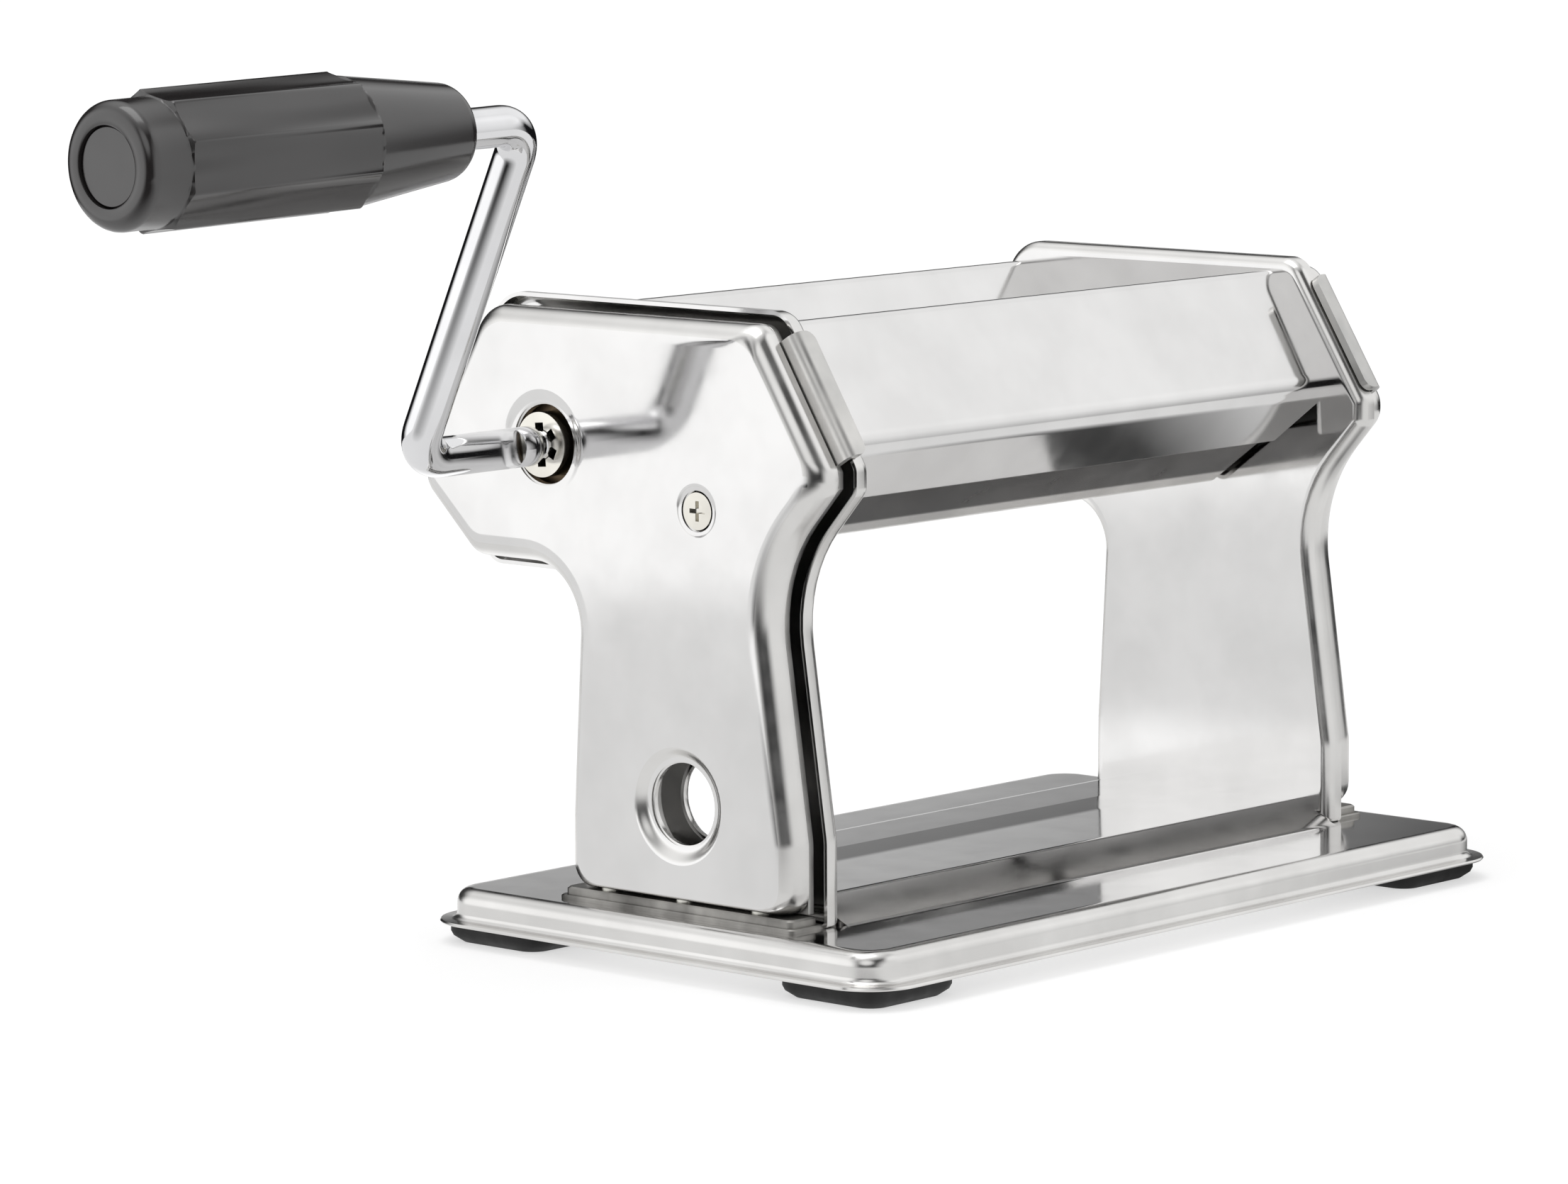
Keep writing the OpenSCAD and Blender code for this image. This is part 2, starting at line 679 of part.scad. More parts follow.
module bearing_block(side) {
    on_side(side) difference() {
        union() {
            translate([block_x, adjust_y - block_half_y, axis_z - block_half_z])
                cube([block_end - block_x, 2 * block_half_y, 2 * block_half_z]);
            translate([frame_x + 0.2, adjust_y - neck_half_y, axis_z - neck_half_z])
                cube([block_x - frame_x, 2 * neck_half_y, 2 * neck_half_z]);
        }
        rod_x([adjust_y, axis_z], journal_r + running_fit, frame_x, cam_x);
        translate([cam_x - 0.1, adjust_y - cam_slot_y / 2, axis_z - cam_slot_z / 2])
            cube([cam_w + cut, cam_slot_y, cam_slot_z]);
    }
}

module bearing_block_left() { color("darkgoldenrod") bearing_block(-1); }
module bearing_block_right() { color("darkgoldenrod") bearing_block(1); }

// Plate on two posts that carries the adjuster's shaft outside a bearing block
module cam_bridge(side) {
    on_side(side) difference() {
        union() {
            translate([bridge_x, knob_y - 5, axis_z - post_z]) cube([bridge_w, 10, 2 * post_z]);
            for (z = [-post_z, post_z]) {
                rod_x([knob_y, axis_z + z], 5, bridge_x, bridge_x + bridge_w);
                rod_x([knob_y, axis_z + z], 2.6, frame_out, bridge_x);
            }
        }
        rod_x([knob_y, axis_z], link_r + running_fit, bridge_x - cut, bridge_x + bridge_w + cut);
        for (z = [-post_z, post_z]) rod_x([knob_y, axis_z + z], 1.4, frame_out - cut, bridge_x);
    }
}

module cam_bridge_left() { color("slategray") cam_bridge(-1); }
module cam_bridge_right() { color("slategray") cam_bridge(1); }

module bridge_screws() {
    color("gray") for (side = [-1, 1], z = [-post_z, post_z]) on_side(side) {
        cone_x([knob_y, axis_z + z], 3, 1.4, frame_x, frame_out);
        rod_x([knob_y, axis_z + z], 1.4, frame_out, bridge_x);
    }
}

// ---- Thickness adjuster ----

module adjuster_shaft() {
    color("silver") difference() {
        union() {
            rod_x([knob_y, axis_z], link_r, -bridge_x - bridge_w, bridge_x + bridge_w + 0.2);
            translate([bridge_x + bridge_w + 0.2, knob_y, axis_z]) rotate([0, 90, 0])
                cylinder(r = spindle_r, h = washer_x - bridge_x - bridge_w - 0.2, $fn = 6);
        }
        rod_x([knob_y, axis_z], 1.5, washer_x - 8, washer_x + cut);
    }
}

module cam(side) {
    color("dimgray") on_side(side) difference() {
        rod_x([knob_y + throw, axis_z], cam_r, cam_x + 0.1, cam_x + cam_w);
        rod_x([knob_y, axis_z], link_r, cam_x - cut, cam_x + cam_w + cut);
    }
}

module cam_left() { cam(-1); }
module cam_right() { cam(1); }

module knob_washer() {
    color("silver") difference() {
        rod_x([knob_y, axis_z], 5.2, washer_x, washer_x + washer_w);
        rod_x([knob_y, axis_z], 1.5, washer_x - cut, washer_x + 2 * cut);
    }
}

module knob_screw() {
    color("silver") difference() {
        union() {
            rod_x([knob_y, axis_z], 1.5, washer_x - 8, washer_x + washer_w);
            rod_x([knob_y, axis_z], 2.8, washer_x + washer_w, washer_x + washer_w + 1.6);
        }
        translate([washer_x + washer_w + 0.8, knob_y - 3, axis_z - 0.4]) cube([2, 6, 0.8]);
    }
}

function dial_angle(k) = 90 + k * 180 / (settings - 1);

module dial_plate() {
    color("gainsboro") difference() {
        rod_x([knob_y, axis_z], dial_r, cover_x, cover_x + dial_w);
        rod_x([knob_y, axis_z], spindle_r + 0.8, cover_x - cut, cover_x + 2 * cut);
        for (k = [0:settings - 1])
            rod_x([knob_y, axis_z] + detent_r * [cos(dial_angle(k)), sin(dial_angle(k))],
                  1.2, cover_x - cut, cover_x + 2 * cut);
        for (y = [-1, 1]) rod_x([knob_y + y * 15.5, axis_z], 1, cover_x - cut, cover_x + 2 * cut);
    }
}

module dial_rivets() {
    color("silver") for (y = [-1, 1]) {
        rod_x([knob_y + y * 15.5, axis_z], 1, cover_in, cover_x + dial_w);
        rod_x([knob_y + y * 15.5, axis_z], 1.8, cover_x + dial_w, cover_x + dial_w + 0.6);
    }
}

module adjuster_knob() {
    knob_profile = [
        [0, 0], [knob_r, 0, 0.6], [knob_r, 3, 0.8], [knob_r - 2.5, 4.5, 1],
        [knob_r - 3.5, knob_l, 2], [0, knob_l]];
    color([0.2, 0.2, 0.2]) translate([knob_x, knob_y, axis_z]) difference() {
        rotate([0, 90, 0]) rotate_extrude() polygon(rounded_path(knob_profile));
        for (a = [0:30:330]) rotate([a, 0, 0]) rod_x([knob_r - 0.2, 0], 3.6, 6.5, knob_l + cut);
        translate([-cut, 0, 0]) rotate([0, 90, 0]) cylinder(r = spindle_r + 0.12, h = 10, $fn = 6);
        rod_x([0, 0], 6.2, spring_x - knob_x, knob_l - 1.2);
        rod_x([0, 0], 7.2, knob_l - 1.2, knob_l + cut);
        rotate([dial_angle(0), 0, 0]) rod_x([detent_r, 0], 1.05, -cut, 5);
    }
}

module knob_cap() {
    color([0.2, 0.2, 0.2]) rod_x([knob_y, axis_z], 7.2, knob_x + knob_l - 1.2, knob_x + knob_l);
}

// Pin that finds the dial's holes; it stops just above the plate
module detent_pin() {
    color("silver") translate([0, knob_y, axis_z]) rotate([dial_angle(0), 0, 0])
        rod_x([detent_r, 0], 1.05, cover_x + dial_w + 0.15, knob_x + 5);
}

spring_turns = 5;
spring_coil_r = 4.8;
spring_wire_r = 0.45;
spring_sides = 6;
spring_steps = spring_turns * 18;

function coil_point(i, j) =
    let (a = 360 * spring_turns * i / spring_steps, b = 360 * j / spring_sides)
    let (r = spring_coil_r + spring_wire_r * cos(b))
    let (rise = spring_wire_r + (spring_l - 2 * spring_wire_r) * i / spring_steps)
    [rise + spring_wire_r * sin(b), r * cos(a), r * sin(a)];

module knob_spring() {
    points = [for (i = [0:spring_steps], j = [0:spring_sides - 1]) coil_point(i, j)];
    sides = [for (i = [0:spring_steps - 1], j = [0:spring_sides - 1])
        let (next = (j + 1) % spring_sides, row = i * spring_sides, up = row + spring_sides)
        [row + j, row + next, up + next, up + j]];
    first = [for (j = [spring_sides - 1:-1:0]) j];
    last = [for (j = [0:spring_sides - 1]) spring_steps * spring_sides + j];
    color("silver") translate([spring_x, knob_y, axis_z])
        polyhedron(points, concat(sides, [first], [last]));
}

// ---- Crank and handle ----

// Frame whose X axis is the hub's and whose Z axis is the crank arm
module on_crank() {
    translate([0, drive_y, axis_z]) rotate([crank_lean, 0, 0]) children();
}

// Frame whose origin is the arm's upper corner and whose -X axis is the handle's
module on_handle() {
    on_crank() translate([-arm_x, 0, crank_arm]) rotate([0, -handle_droop, 0]) children();
}

module rod_bend(turn) {
    rotate([90, 0, 0]) rotate_extrude(angle = turn) translate([bend_r, 0]) circle(r = rod_r);
}

module pin_shape() {
    translate([-tang_x - 4, -4.2, 0]) rotate([-90, 0, 0]) cylinder(r = 0.9, h = 8.4);
}

module crank_rod() {
    color("silver") {
        on_crank() {
            difference() {
                rod_x([0, 0], tang_r, -shoulder_x, -tang_x);
                pin_shape();
            }
            cone_x([0, 0], rod_r, rod_r - 0.6, -shoulder_x - 0.6, -shoulder_x);
            rod_x([0, 0], rod_r, bend_r - arm_x, -shoulder_x - 0.6);
            translate([bend_r - arm_x, 0, bend_r]) rotate([0, 180, 0]) rod_bend(90);
            translate([-arm_x, 0, bend_r]) cylinder(r = rod_r, h = crank_arm - upper_run - bend_r);
            translate([-arm_x - bend_r, 0, crank_arm - upper_run]) rod_bend(upper_turn);
        }
        on_handle() {
            rod_x([0, 0], rod_r + 0.02, -rivet_s, 0.2 - upper_run);
            rod_x([0, 0], rod_r + 0.8, -rivet_s - 1.4, -rivet_s);
        }
    }
}

module crank_cross_pin() {
    color("silver") on_crank() pin_shape();
}

module handle_washer() {
    color("silver") on_handle() difference() {
        rod_x([0, 0], 6.2, -rivet_s, -rivet_s + 1);
        rod_x([0, 0], rod_r + 0.02, -rivet_s - cut, -rivet_s + 2 * cut);
    }
}

module handle_grip() {
    taper_end = handle_start + taper_l;
    grip_end = taper_end + grip_l;
    profile = [
        [0, handle_start], [taper_r, handle_start, 2.6], [grip_r - 0.9, taper_end, 0.3],
        [grip_r, taper_end + 0.3, 0.2], [grip_r, grip_end - 0.3, 0.2], [collar_r, grip_end, 0.2],
        [collar_r, handle_end, 2.6], [0, handle_end]];
    flute_r = (pow(grip_r * sin(180 / flutes), 2) + pow(grip_r * cos(180 / flutes) - grip_r + flute_depth, 2))
              / (2 * (grip_r * cos(180 / flutes) - grip_r + flute_depth));
    color([0.25, 0.25, 0.26]) on_handle() difference() {
        rotate([0, -90, 0]) rotate_extrude() polygon(rounded_path(profile));
        for (k = [0:flutes - 1]) rotate([(k + 0.5) * 360 / flutes + flute_turn, 0, 0])
            rod_x([grip_r - flute_depth + flute_r, 0], flute_r, -grip_end, -taper_end);
        rod_x([0, 0], rod_r + 0.1, -handle_end - cut, cut - handle_start);
        rod_x([0, 0], 6.6, -handle_end - cut, -rivet_s + 1.2);
        rod_x([0, 0], plug_r, -handle_end - cut, -handle_end + plug_recess + plug_w);
    }
}

module handle_end_plug() {
    color([0.3, 0.3, 0.31]) on_handle()
        rod_x([0, 0], plug_r, -handle_end + plug_recess, -handle_end + plug_recess + plug_w);
}

base_plate();
rubber_feet();
base_rivets();
inner_panel_left();
inner_panel_right();
side_frame_left();
side_frame_right();
outer_cover_left();
outer_cover_right();
cover_posts();
cover_screws();
front_guard();
rear_guard();
rear_scraper();
tie_rods();
tie_rod_screws();
drive_bush_left();
drive_bush_right();
cam_bridge_left();
cam_bridge_right();
bridge_screws();
dial_plate();
dial_rivets();
drive_roller();
drive_gear();
crank_socket();
bearing_block_left();
bearing_block_right();
front_scraper();
adjustable_roller();
adjustable_gear();
adjuster_shaft();
cam_left();
cam_right();
knob_screw();
knob_washer();
adjuster_knob();
knob_cap();
detent_pin();
knob_spring();
crank_rod();
crank_cross_pin();
handle_washer();
handle_grip();
handle_end_plug();
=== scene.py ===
"""Looks of the hand-cranked roller machine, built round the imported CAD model.

Sizes are in millimetres until a mesh is made.
X runs along the rollers with the crank at -X, and -Y is the front.
"""

import math

import bmesh
import bpy
from mathutils import Matrix, Vector
from mathutils.geometry import tessellate_polygon


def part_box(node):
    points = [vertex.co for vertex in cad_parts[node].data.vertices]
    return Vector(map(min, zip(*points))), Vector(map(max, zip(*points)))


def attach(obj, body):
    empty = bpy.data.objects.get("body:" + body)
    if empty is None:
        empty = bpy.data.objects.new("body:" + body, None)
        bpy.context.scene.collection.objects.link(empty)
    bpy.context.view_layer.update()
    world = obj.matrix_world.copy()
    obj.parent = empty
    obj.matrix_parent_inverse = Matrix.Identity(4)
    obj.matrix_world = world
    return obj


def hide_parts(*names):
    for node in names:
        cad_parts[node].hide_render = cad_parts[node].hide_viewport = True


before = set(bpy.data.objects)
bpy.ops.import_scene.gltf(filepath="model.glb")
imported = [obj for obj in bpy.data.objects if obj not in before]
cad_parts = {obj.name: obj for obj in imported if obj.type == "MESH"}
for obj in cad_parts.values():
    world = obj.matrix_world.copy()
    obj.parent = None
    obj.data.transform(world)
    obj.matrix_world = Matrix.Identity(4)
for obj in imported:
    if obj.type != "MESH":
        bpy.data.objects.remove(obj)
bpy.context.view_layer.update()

MM = 0.001
LEFT = -1
RIGHT = 1


def span(node, axis):
    """Lowest and highest place of a CAD node along an axis, in millimetres."""
    low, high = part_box(node)
    return low[axis] / MM, high[axis] / MM


def middle(node, axis):
    return sum(span(node, axis)) / 2


# ---- Stations and sizes of the CAD model ----

DRIVE_Y = middle("drive_roller", 1)
AXIS_Z = middle("drive_roller", 2)
ADJUST_Y = middle("adjustable_roller", 1)
KNOB_Y = middle("adjuster_knob", 1)
PANEL_X = span("inner_panel_right", 0)[0]
COVER_LIP, COVER_X = span("outer_cover_right", 0)
BASE_TOP = span("inner_panel_right", 2)[0]
HEAD_TOP = span("inner_panel_right", 2)[1]
BASE_HALF_X = span("base_plate", 0)[1]
BASE_HALF_Y = span("base_plate", 1)[1]
FOOT_H = span("base_plate", 2)[0]
SHEET = 0.8
PANEL_FLANGE = 4.4
FRAME_X = PANEL_X + 5.2
FRAME_T = 1.6
FRAME_OUT = FRAME_X + FRAME_T
COVER_INSET = 2.2
FRAME_INSET = 2.6
CLAMP = (-0.9, 33.0)
CLAMP_R = 8.2
COVER_SCREW = (-6.3, AXIS_Z - 10.2)
HUB = (DRIVE_Y, AXIS_Z)

# Corners of the head and legs as (y, z, radius), from the top front down and round
SIDE_CORNERS = [
    (-22.0, HEAD_TOP, 6.0),
    (-40.3, AXIS_Z - 0.1, 3.5),
    (-40.3, AXIS_Z - 5.1, 3.0),
    (-24.7, AXIS_Z - 22.9, 28.0),
    (-32.3, 28.0, 15.0),
    (-32.3, BASE_TOP, 1.0),
    (32.0, BASE_TOP, 1.0),
    (31.8, 28.0, 15.0),
    (29.0, AXIS_Z - 26.2, 10.7),
    (56.8, AXIS_Z - 26.2, 5.0),
    (72.0, AXIS_Z - 11.7, 7.0),
    (72.0, AXIS_Z - 2.6, 9.0),
    (53.5, HEAD_TOP, 9.0),
]


# ---- Outlines ----


def corner_arc(a, b, c, steps=None):
    """Points of the arc that rounds corner b between a and c."""
    here = Vector(b[:2])
    u = (Vector(a[:2]) - here).normalized()
    v = (Vector(c[:2]) - here).normalized()
    half = math.acos(max(-1.0, min(1.0, u.dot(v)))) / 2
    start = here + u * b[2] / math.tan(half)
    mid = here + (u + v).normalized() * b[2] / math.sin(half)
    turn = math.pi - 2 * half
    way = -1 if u.x * v.y - u.y * v.x > 0 else 1
    first = math.atan2(start.y - mid.y, start.x - mid.x)
    count = steps or max(3, round(math.degrees(turn) / 6))
    angles = [first + way * turn * k / count for k in range(count + 1)]
    return [(mid.x + b[2] * math.cos(a), mid.y + b[2] * math.sin(a)) for a in angles]


def rounded(corners, steps=None):
    """Outline of a closed list of corners (y, z, radius), with as many arc steps as steps says for each."""
    n = len(corners)
    steps = steps or [None] * n
    outline = []
    for i in range(n):
        outline += corner_arc(corners[i - 1], corners[i], corners[(i + 1) % n], steps[i])
    return outline


def inset(corners, d, least=0.4):
    """The same closed list of corners, moved inwards by d, with no radius under least."""
    moved = []
    n = len(corners)
    for i, corner in enumerate(corners):
        here = Vector(corner[:2])
        before = (here - Vector(corners[i - 1][:2])).normalized()
        after = (Vector(corners[(i + 1) % n][:2]) - here).normalized()
        n1 = Vector((-before.y, before.x))
        n2 = Vector((-after.y, after.x))
        convex = before.x * after.y - before.y * after.x > 0
        p = here + (n1 + n2) * d / (1 + n1.dot(n2))
        moved.append((p.x, p.y, max(corner[2] + (-d if convex else d), least)))
    return moved


def ring_points(centre, r, count=48):
    """Points of a circle."""
    angles = [2 * math.pi * k / count for k in range(count)]
    return [(centre[0] + r * math.cos(a), centre[1] + r * math.sin(a)) for a in angles]


def arc_path(corners):
    """An open path of (a, b, radius) corners with its inner corners rounded."""
    path = [corners[0][:2]]
    for i in range(1, len(corners) - 1):
        path += corner_arc(corners[i - 1], corners[i], corners[i + 1])
    return path + [corners[-1][:2]]


def with_supports(path, near=0.25):
    """The path with a point close to each end of its long straight runs, so that flats shade flat."""
    out = [path[0]]
    for a, b in zip(path, path[1:]):
        va, vb = Vector(a), Vector(b)
        run = (vb - va).length
        if run > 4 * near:
            step = (vb - va) / run * near
            out += [tuple(va + step), tuple(vb - step)]
        out.append(b)
    return out


def offset_path(path, d):
    """An open path moved to its left by d."""
    moved = []
    for i, p in enumerate(path):
        a = Vector(path[max(i - 1, 0)])
        b = Vector(path[min(i + 1, len(path) - 1)])
        here = Vector(p)
        before = (here - a).normalized() if i else (b - here).normalized()
        after = (b - here).normalized() if i < len(path) - 1 else before
        n1 = Vector((-before.y, before.x))
        n2 = Vector((-after.y, after.x))
        moved.append(tuple(here + (n1 + n2) * d / (1 + n1.dot(n2))))
    return moved


# ---- Meshes ----


class Shape:
    """Vertices and faces in millimetres, gathered until they become one object."""

    def __init__(self):
        self.points = []
        self.faces = []

    def ring(self, points):
        start = len(self.points)
        self.points += [tuple(p) for p in points]
        return list(range(start, len(self.points)))

    def bridge(self, a, b, closed=True):
        n = len(a)
        for i in range(n if closed else n - 1):
            j = (i + 1) % n
            self.faces.append((a[i], a[j], b[j], b[i]))

    def stack(self, rings, closed=True):
        made = [self.ring(r) for r in rings]
        for a, b in zip(made, made[1:]):
            self.bridge(a, b, closed)
        return made

    def fill(self, *rings):
        """Flat face inside the first ring and outside the others."""
        flat = [i for ring in rings for i in ring]
        loops = [[Vector(self.points[i]) for i in ring] for ring in rings]
        for tri in tessellate_polygon(loops):
            self.faces.append(tuple(flat[k] for k in tri))

    def transform(self, matrix, start=0):
        for i in range(start, len(self.points)):
            self.points[i] = tuple(matrix @ Vector(self.points[i]))

    def make(self, name, material, body, slot, *nodes, sharp=32, weld=0.002):
        mesh = bpy.data.meshes.new(name)
        mesh.from_pydata([Vector(p) * MM for p in self.points], [], self.faces)
        bm = bmesh.new()
        bm.from_mesh(mesh)
        bmesh.ops.remove_doubles(bm, verts=bm.verts, dist=weld * MM)
        bmesh.ops.dissolve_degenerate(bm, edges=bm.edges, dist=weld * MM)
        bmesh.ops.recalc_face_normals(bm, faces=bm.faces)
        bm.to_mesh(mesh)
        bm.free()
        mesh.shade_smooth()
        mesh.set_sharp_from_angle(angle=math.radians(sharp))
        mesh.materials.append(material)
        obj = bpy.data.objects.new(name, mesh)
        bpy.context.scene.collection.objects.link(obj)
        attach(obj, body)
        if nodes:
            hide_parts(*nodes)
        return obj


def satin_where(obj, test):
    """Gives a second, less polished finish to the faces whose centre (mm) and normal pass the test."""
    obj.data.materials.append(SATIN)
    for face in obj.data.polygons:
        if test(face.center / MM, face.normal):
            face.material_index = 1
    return obj


def off_the_face(place, normal):
    """Whether a face of a side sheet is on its rounded edge, flange or pressed holes."""
    return abs(normal.x) < 0.95


def at_x(x, points):
    """(y, z) points on the plane of one X."""
    return [(x, p[0], p[1]) for p in points]


def round_edge(r, steps=7):
    """(inset, drop) stations of a quarter round, from its wall end to its face end."""
    return [
        (r * (1 - math.cos(math.pi / 2 * k / steps)), r * (1 - math.sin(math.pi / 2 * k / steps)))
        for k in range(steps + 1)
    ]


def swell(a, b, t):
    """Smooth step from a to b."""
    return a + (b - a) * t * t * (3 - 2 * t)


def dimple(r_out, r_in, depth, wall, steps=7):
    """(radius, depth) stations of a pressed-in hole: flat, soft slope, rounded edge, straight wall."""
    edge = 0.7
    stations = [(r_out + 0.25, 0.0), (r_out, 0.0)]
    for k in range(1, steps + 1):
        t = k / steps
        stations.append((r_out + (r_in + edge - r_out) * t, swell(0, depth, t)))
    stations += [(r_in + edge * math.cos(a), depth + edge * (1 - math.sin(a))) for a in (1.2, 0.8, 0.4)]
    return stations + [(r_in, depth + edge), (r_in, depth + wall)]


# ---- Materials ----


def node(tree, kind, **inputs):
    """A new node with its inputs set by name, or its operation or data type."""
    made = tree.nodes.new(kind)
    for key, value in inputs.items():
        if key in ("operation", "data_type"):
            setattr(made, key, value)
        else:
            made.inputs[key.replace("_", " ")].default_value = value
    return made


def new_material(name):
    material = bpy.data.materials.new(name)
    material.use_nodes = True
    tree = material.node_tree
    return material, tree, tree.nodes["Principled BSDF"]


def noise(tree, scale, detail, stretch=(1, 1, 1)):
    """Noise in the object's own space; scale is features per metre."""
    place = tree.nodes.new("ShaderNodeTexCoord")
    mapping = node(tree, "ShaderNodeMapping")
    mapping.inputs["Scale"].default_value = stretch
    made = node(tree, "ShaderNodeTexNoise", Scale=scale, Detail=detail)
    tree.links.new(place.outputs["Object"], mapping.inputs["Vector"])
    tree.links.new(mapping.outputs["Vector"], made.inputs["Vector"])
    return made.outputs["Fac"]


def spread(tree, value, low, high, from_low=0.3, from_high=0.7):
    """The value, brought from one range to another and held inside it."""
    ranged = node(tree, "ShaderNodeMapRange")
    ranged.inputs["From Min"].default_value = from_low
    ranged.inputs["From Max"].default_value = from_high
    ranged.inputs["To Min"].default_value = low
    ranged.inputs["To Max"].default_value = high
    tree.links.new(value, ranged.inputs["Value"])
    return ranged.outputs["Result"]


def two_tones(tree, value, dark, light, low=0.35, high=0.65):
    """A colour between dark and light as the value goes from low to high."""
    ramp = tree.nodes.new("ShaderNodeValToRGB")
    ramp.color_ramp.elements[0].color = (*dark, 1)
    ramp.color_ramp.elements[1].color = (*light, 1)
    ramp.color_ramp.elements[0].position = low
    ramp.color_ramp.elements[1].position = high
    tree.links.new(value, ramp.inputs["Fac"])
    return ramp.outputs["Color"]


def bumps(tree, shader, *layers):
    """Bump layers of (height, strength, distance in mm), one on another."""
    last = None
    for height, strength, distance in layers:
        bump = node(tree, "ShaderNodeBump", Strength=strength, Distance=distance * MM)
        tree.links.new(height, bump.inputs["Height"])
        if last:
            tree.links.new(last, bump.inputs["Normal"])
        last = bump.outputs["Normal"]
    tree.links.new(last, shader.inputs["Normal"])


def metal(name, dark, light, rough, fine=2600, wave=0.0, grain=0.006, stretch=(1, 1, 1)):
    """A bare metal: slow colour drift, smudged gloss, fine surface grain and perhaps a slight waviness."""
    material, tree, shader = new_material(name)
    shader.inputs["Metallic"].default_value = 1
    tree.links.new(two_tones(tree, noise(tree, 60, 4), dark, light), shader.inputs["Base Color"])
    tree.links.new(spread(tree, noise(tree, 110, 5, stretch), *rough), shader.inputs["Roughness"])
    layers = [(noise(tree, fine, 2, stretch), 0.25, grain)]
    if wave:
        layers.append((noise(tree, 22, 1), 0.6, wave))
    bumps(tree, shader, *layers)
    return material


def plastic(name, dark, light, rough, grain=0.01, scale=900, specular=0.5, stretch=(1, 1, 1)):
    """A moulded plastic or rubber: slow colour drift, uneven gloss and a fine grain."""
    material, tree, shader = new_material(name)
    shader.inputs["Specular IOR Level"].default_value = specular
    tree.links.new(two_tones(tree, noise(tree, 45, 4), dark, light), shader.inputs["Base Color"])
    tree.links.new(spread(tree, noise(tree, 260, 5, stretch), *rough), shader.inputs["Roughness"])
    bumps(tree, shader, (noise(tree, scale, 3, stretch), 0.3, grain))
    return material


def painted_highlight_lip(material, tone, share):
    """Paints a highlight on the lowest share of what wears the material: a lighter metal colour there stands
    for light caught by its lower edge.
    """
    tree = material.node_tree
    shader = tree.nodes["Principled BSDF"]
    dark = shader.inputs["Base Color"].links[0].from_socket
    place = tree.nodes.new("ShaderNodeTexCoord")
    split = tree.nodes.new("ShaderNodeSeparateXYZ")
    tree.links.new(place.outputs["Generated"], split.inputs["Vector"])
    amount = spread(tree, split.outputs["Z"], 1, 0, share * 0.8, share)
    mix = node(tree, "ShaderNodeMix", data_type="RGBA")
    tree.links.new(amount, mix.inputs["Factor"])
    tree.links.new(dark, mix.inputs[6])
    mix.inputs[7].default_value = (*tone, 1)
    tree.links.new(mix.outputs[2], shader.inputs["Base Color"])


POLISHED_TONES = ((0.685, 0.68, 0.675), (0.735, 0.73, 0.725))
POLISHED = metal("polished_sheet", *POLISHED_TONES, (0.07, 0.13), 2200, 0.02, 0.002)
SATIN_TONES = ((0.66, 0.652, 0.64), (0.72, 0.713, 0.70))
SATIN = metal("satin_sheet", *SATIN_TONES, (0.17, 0.27), 2400, 0.02, 0.004)
# Dark finish of the foot slabs: partly the matte cut edge, partly painted contact shade.
EDGE_AND_SHADE_TONES = ((0.07, 0.068, 0.064), (0.42, 0.41, 0.39))
CUT_EDGE_AND_SHADE = metal("cut_edge_and_painted_shade", *EDGE_AND_SHADE_TONES, (0.32, 0.5), 3000, grain=0.02, stretch=(1, 1, 4))
ZINC_COAT_TONES = ((0.50, 0.50, 0.49), (0.68, 0.67, 0.65))
GALVANISED = metal("galvanised_sheet", *ZINC_COAT_TONES, (0.32, 0.5), 1500, grain=0.012)
CHROME = metal("chrome_plate", (0.72, 0.72, 0.73), (0.78, 0.78, 0.79), (0.04, 0.09), grain=0.002)
NICKEL = metal("nickel_plate", (0.62, 0.60, 0.55), (0.76, 0.74, 0.68), (0.15, 0.28))
ROLLER_TONES = ((0.58, 0.58, 0.58), (0.7, 0.7, 0.7))
ROLLER = metal("ground_roller", *ROLLER_TONES, (0.22, 0.34), 2400, stretch=(0.05, 1, 1))
ZINC = metal("zinc_fixings", (0.58, 0.57, 0.52), (0.74, 0.73, 0.68), (0.22, 0.38))
GEAR = metal("gear_steel", (0.28, 0.28, 0.28), (0.42, 0.42, 0.41), (0.3, 0.45), 1900)
# Near-black steel of the scrapers: its darkness is painted shade, standing for the shadow and dark reflection
# over them.
SCRAPER_SHADE_TONES = ((0.016, 0.0135, 0.012), (0.032, 0.028, 0.025))
SCRAPER_SHADE_STEEL = metal("scraper_painted_shade", *SCRAPER_SHADE_TONES, (0.16, 0.28), 2200)
# The scrapers' lowest tenth is lighter: a painted highlight on their lower edge.
painted_highlight_lip(SCRAPER_SHADE_STEEL, (0.75, 0.74, 0.72), 0.1)
BRONZE = metal("sintered_bronze", (0.13, 0.095, 0.06), (0.2, 0.15, 0.1), (0.4, 0.55))
GRIP_TONES = ((0.012, 0.0105, 0.0105), (0.02, 0.018, 0.018))
GRIP = plastic("grip_plastic", *GRIP_TONES, (0.12, 0.24), 0.003, specular=1.0, stretch=(0.12, 1, 1))
KNOB = plastic("knob_plastic", (0.03, 0.03, 0.032), (0.045, 0.045, 0.047), (0.28, 0.42))
RUBBER_TONES = ((0.012, 0.012, 0.012), (0.022, 0.022, 0.022))
RUBBER = plastic("foot_rubber", *RUBBER_TONES, (0.55, 0.75), 0.03, 700, 0.3)

# Finish of each material slot of the CAD model
SLOT_MATERIALS = {
    "polished_steel": POLISHED,
    "galvanised": GALVANISED,
    "chrome_rod": CHROME,
    "nickel": NICKEL,
    "roller_steel": ROLLER,
    "zinc_fixing": ZINC,
    "gear_steel": GEAR,
    "bronze": BRONZE,
    "grip_plastic": GRIP,
    "knob_plastic": KNOB,
    "foot_rubber": RUBBER,
}


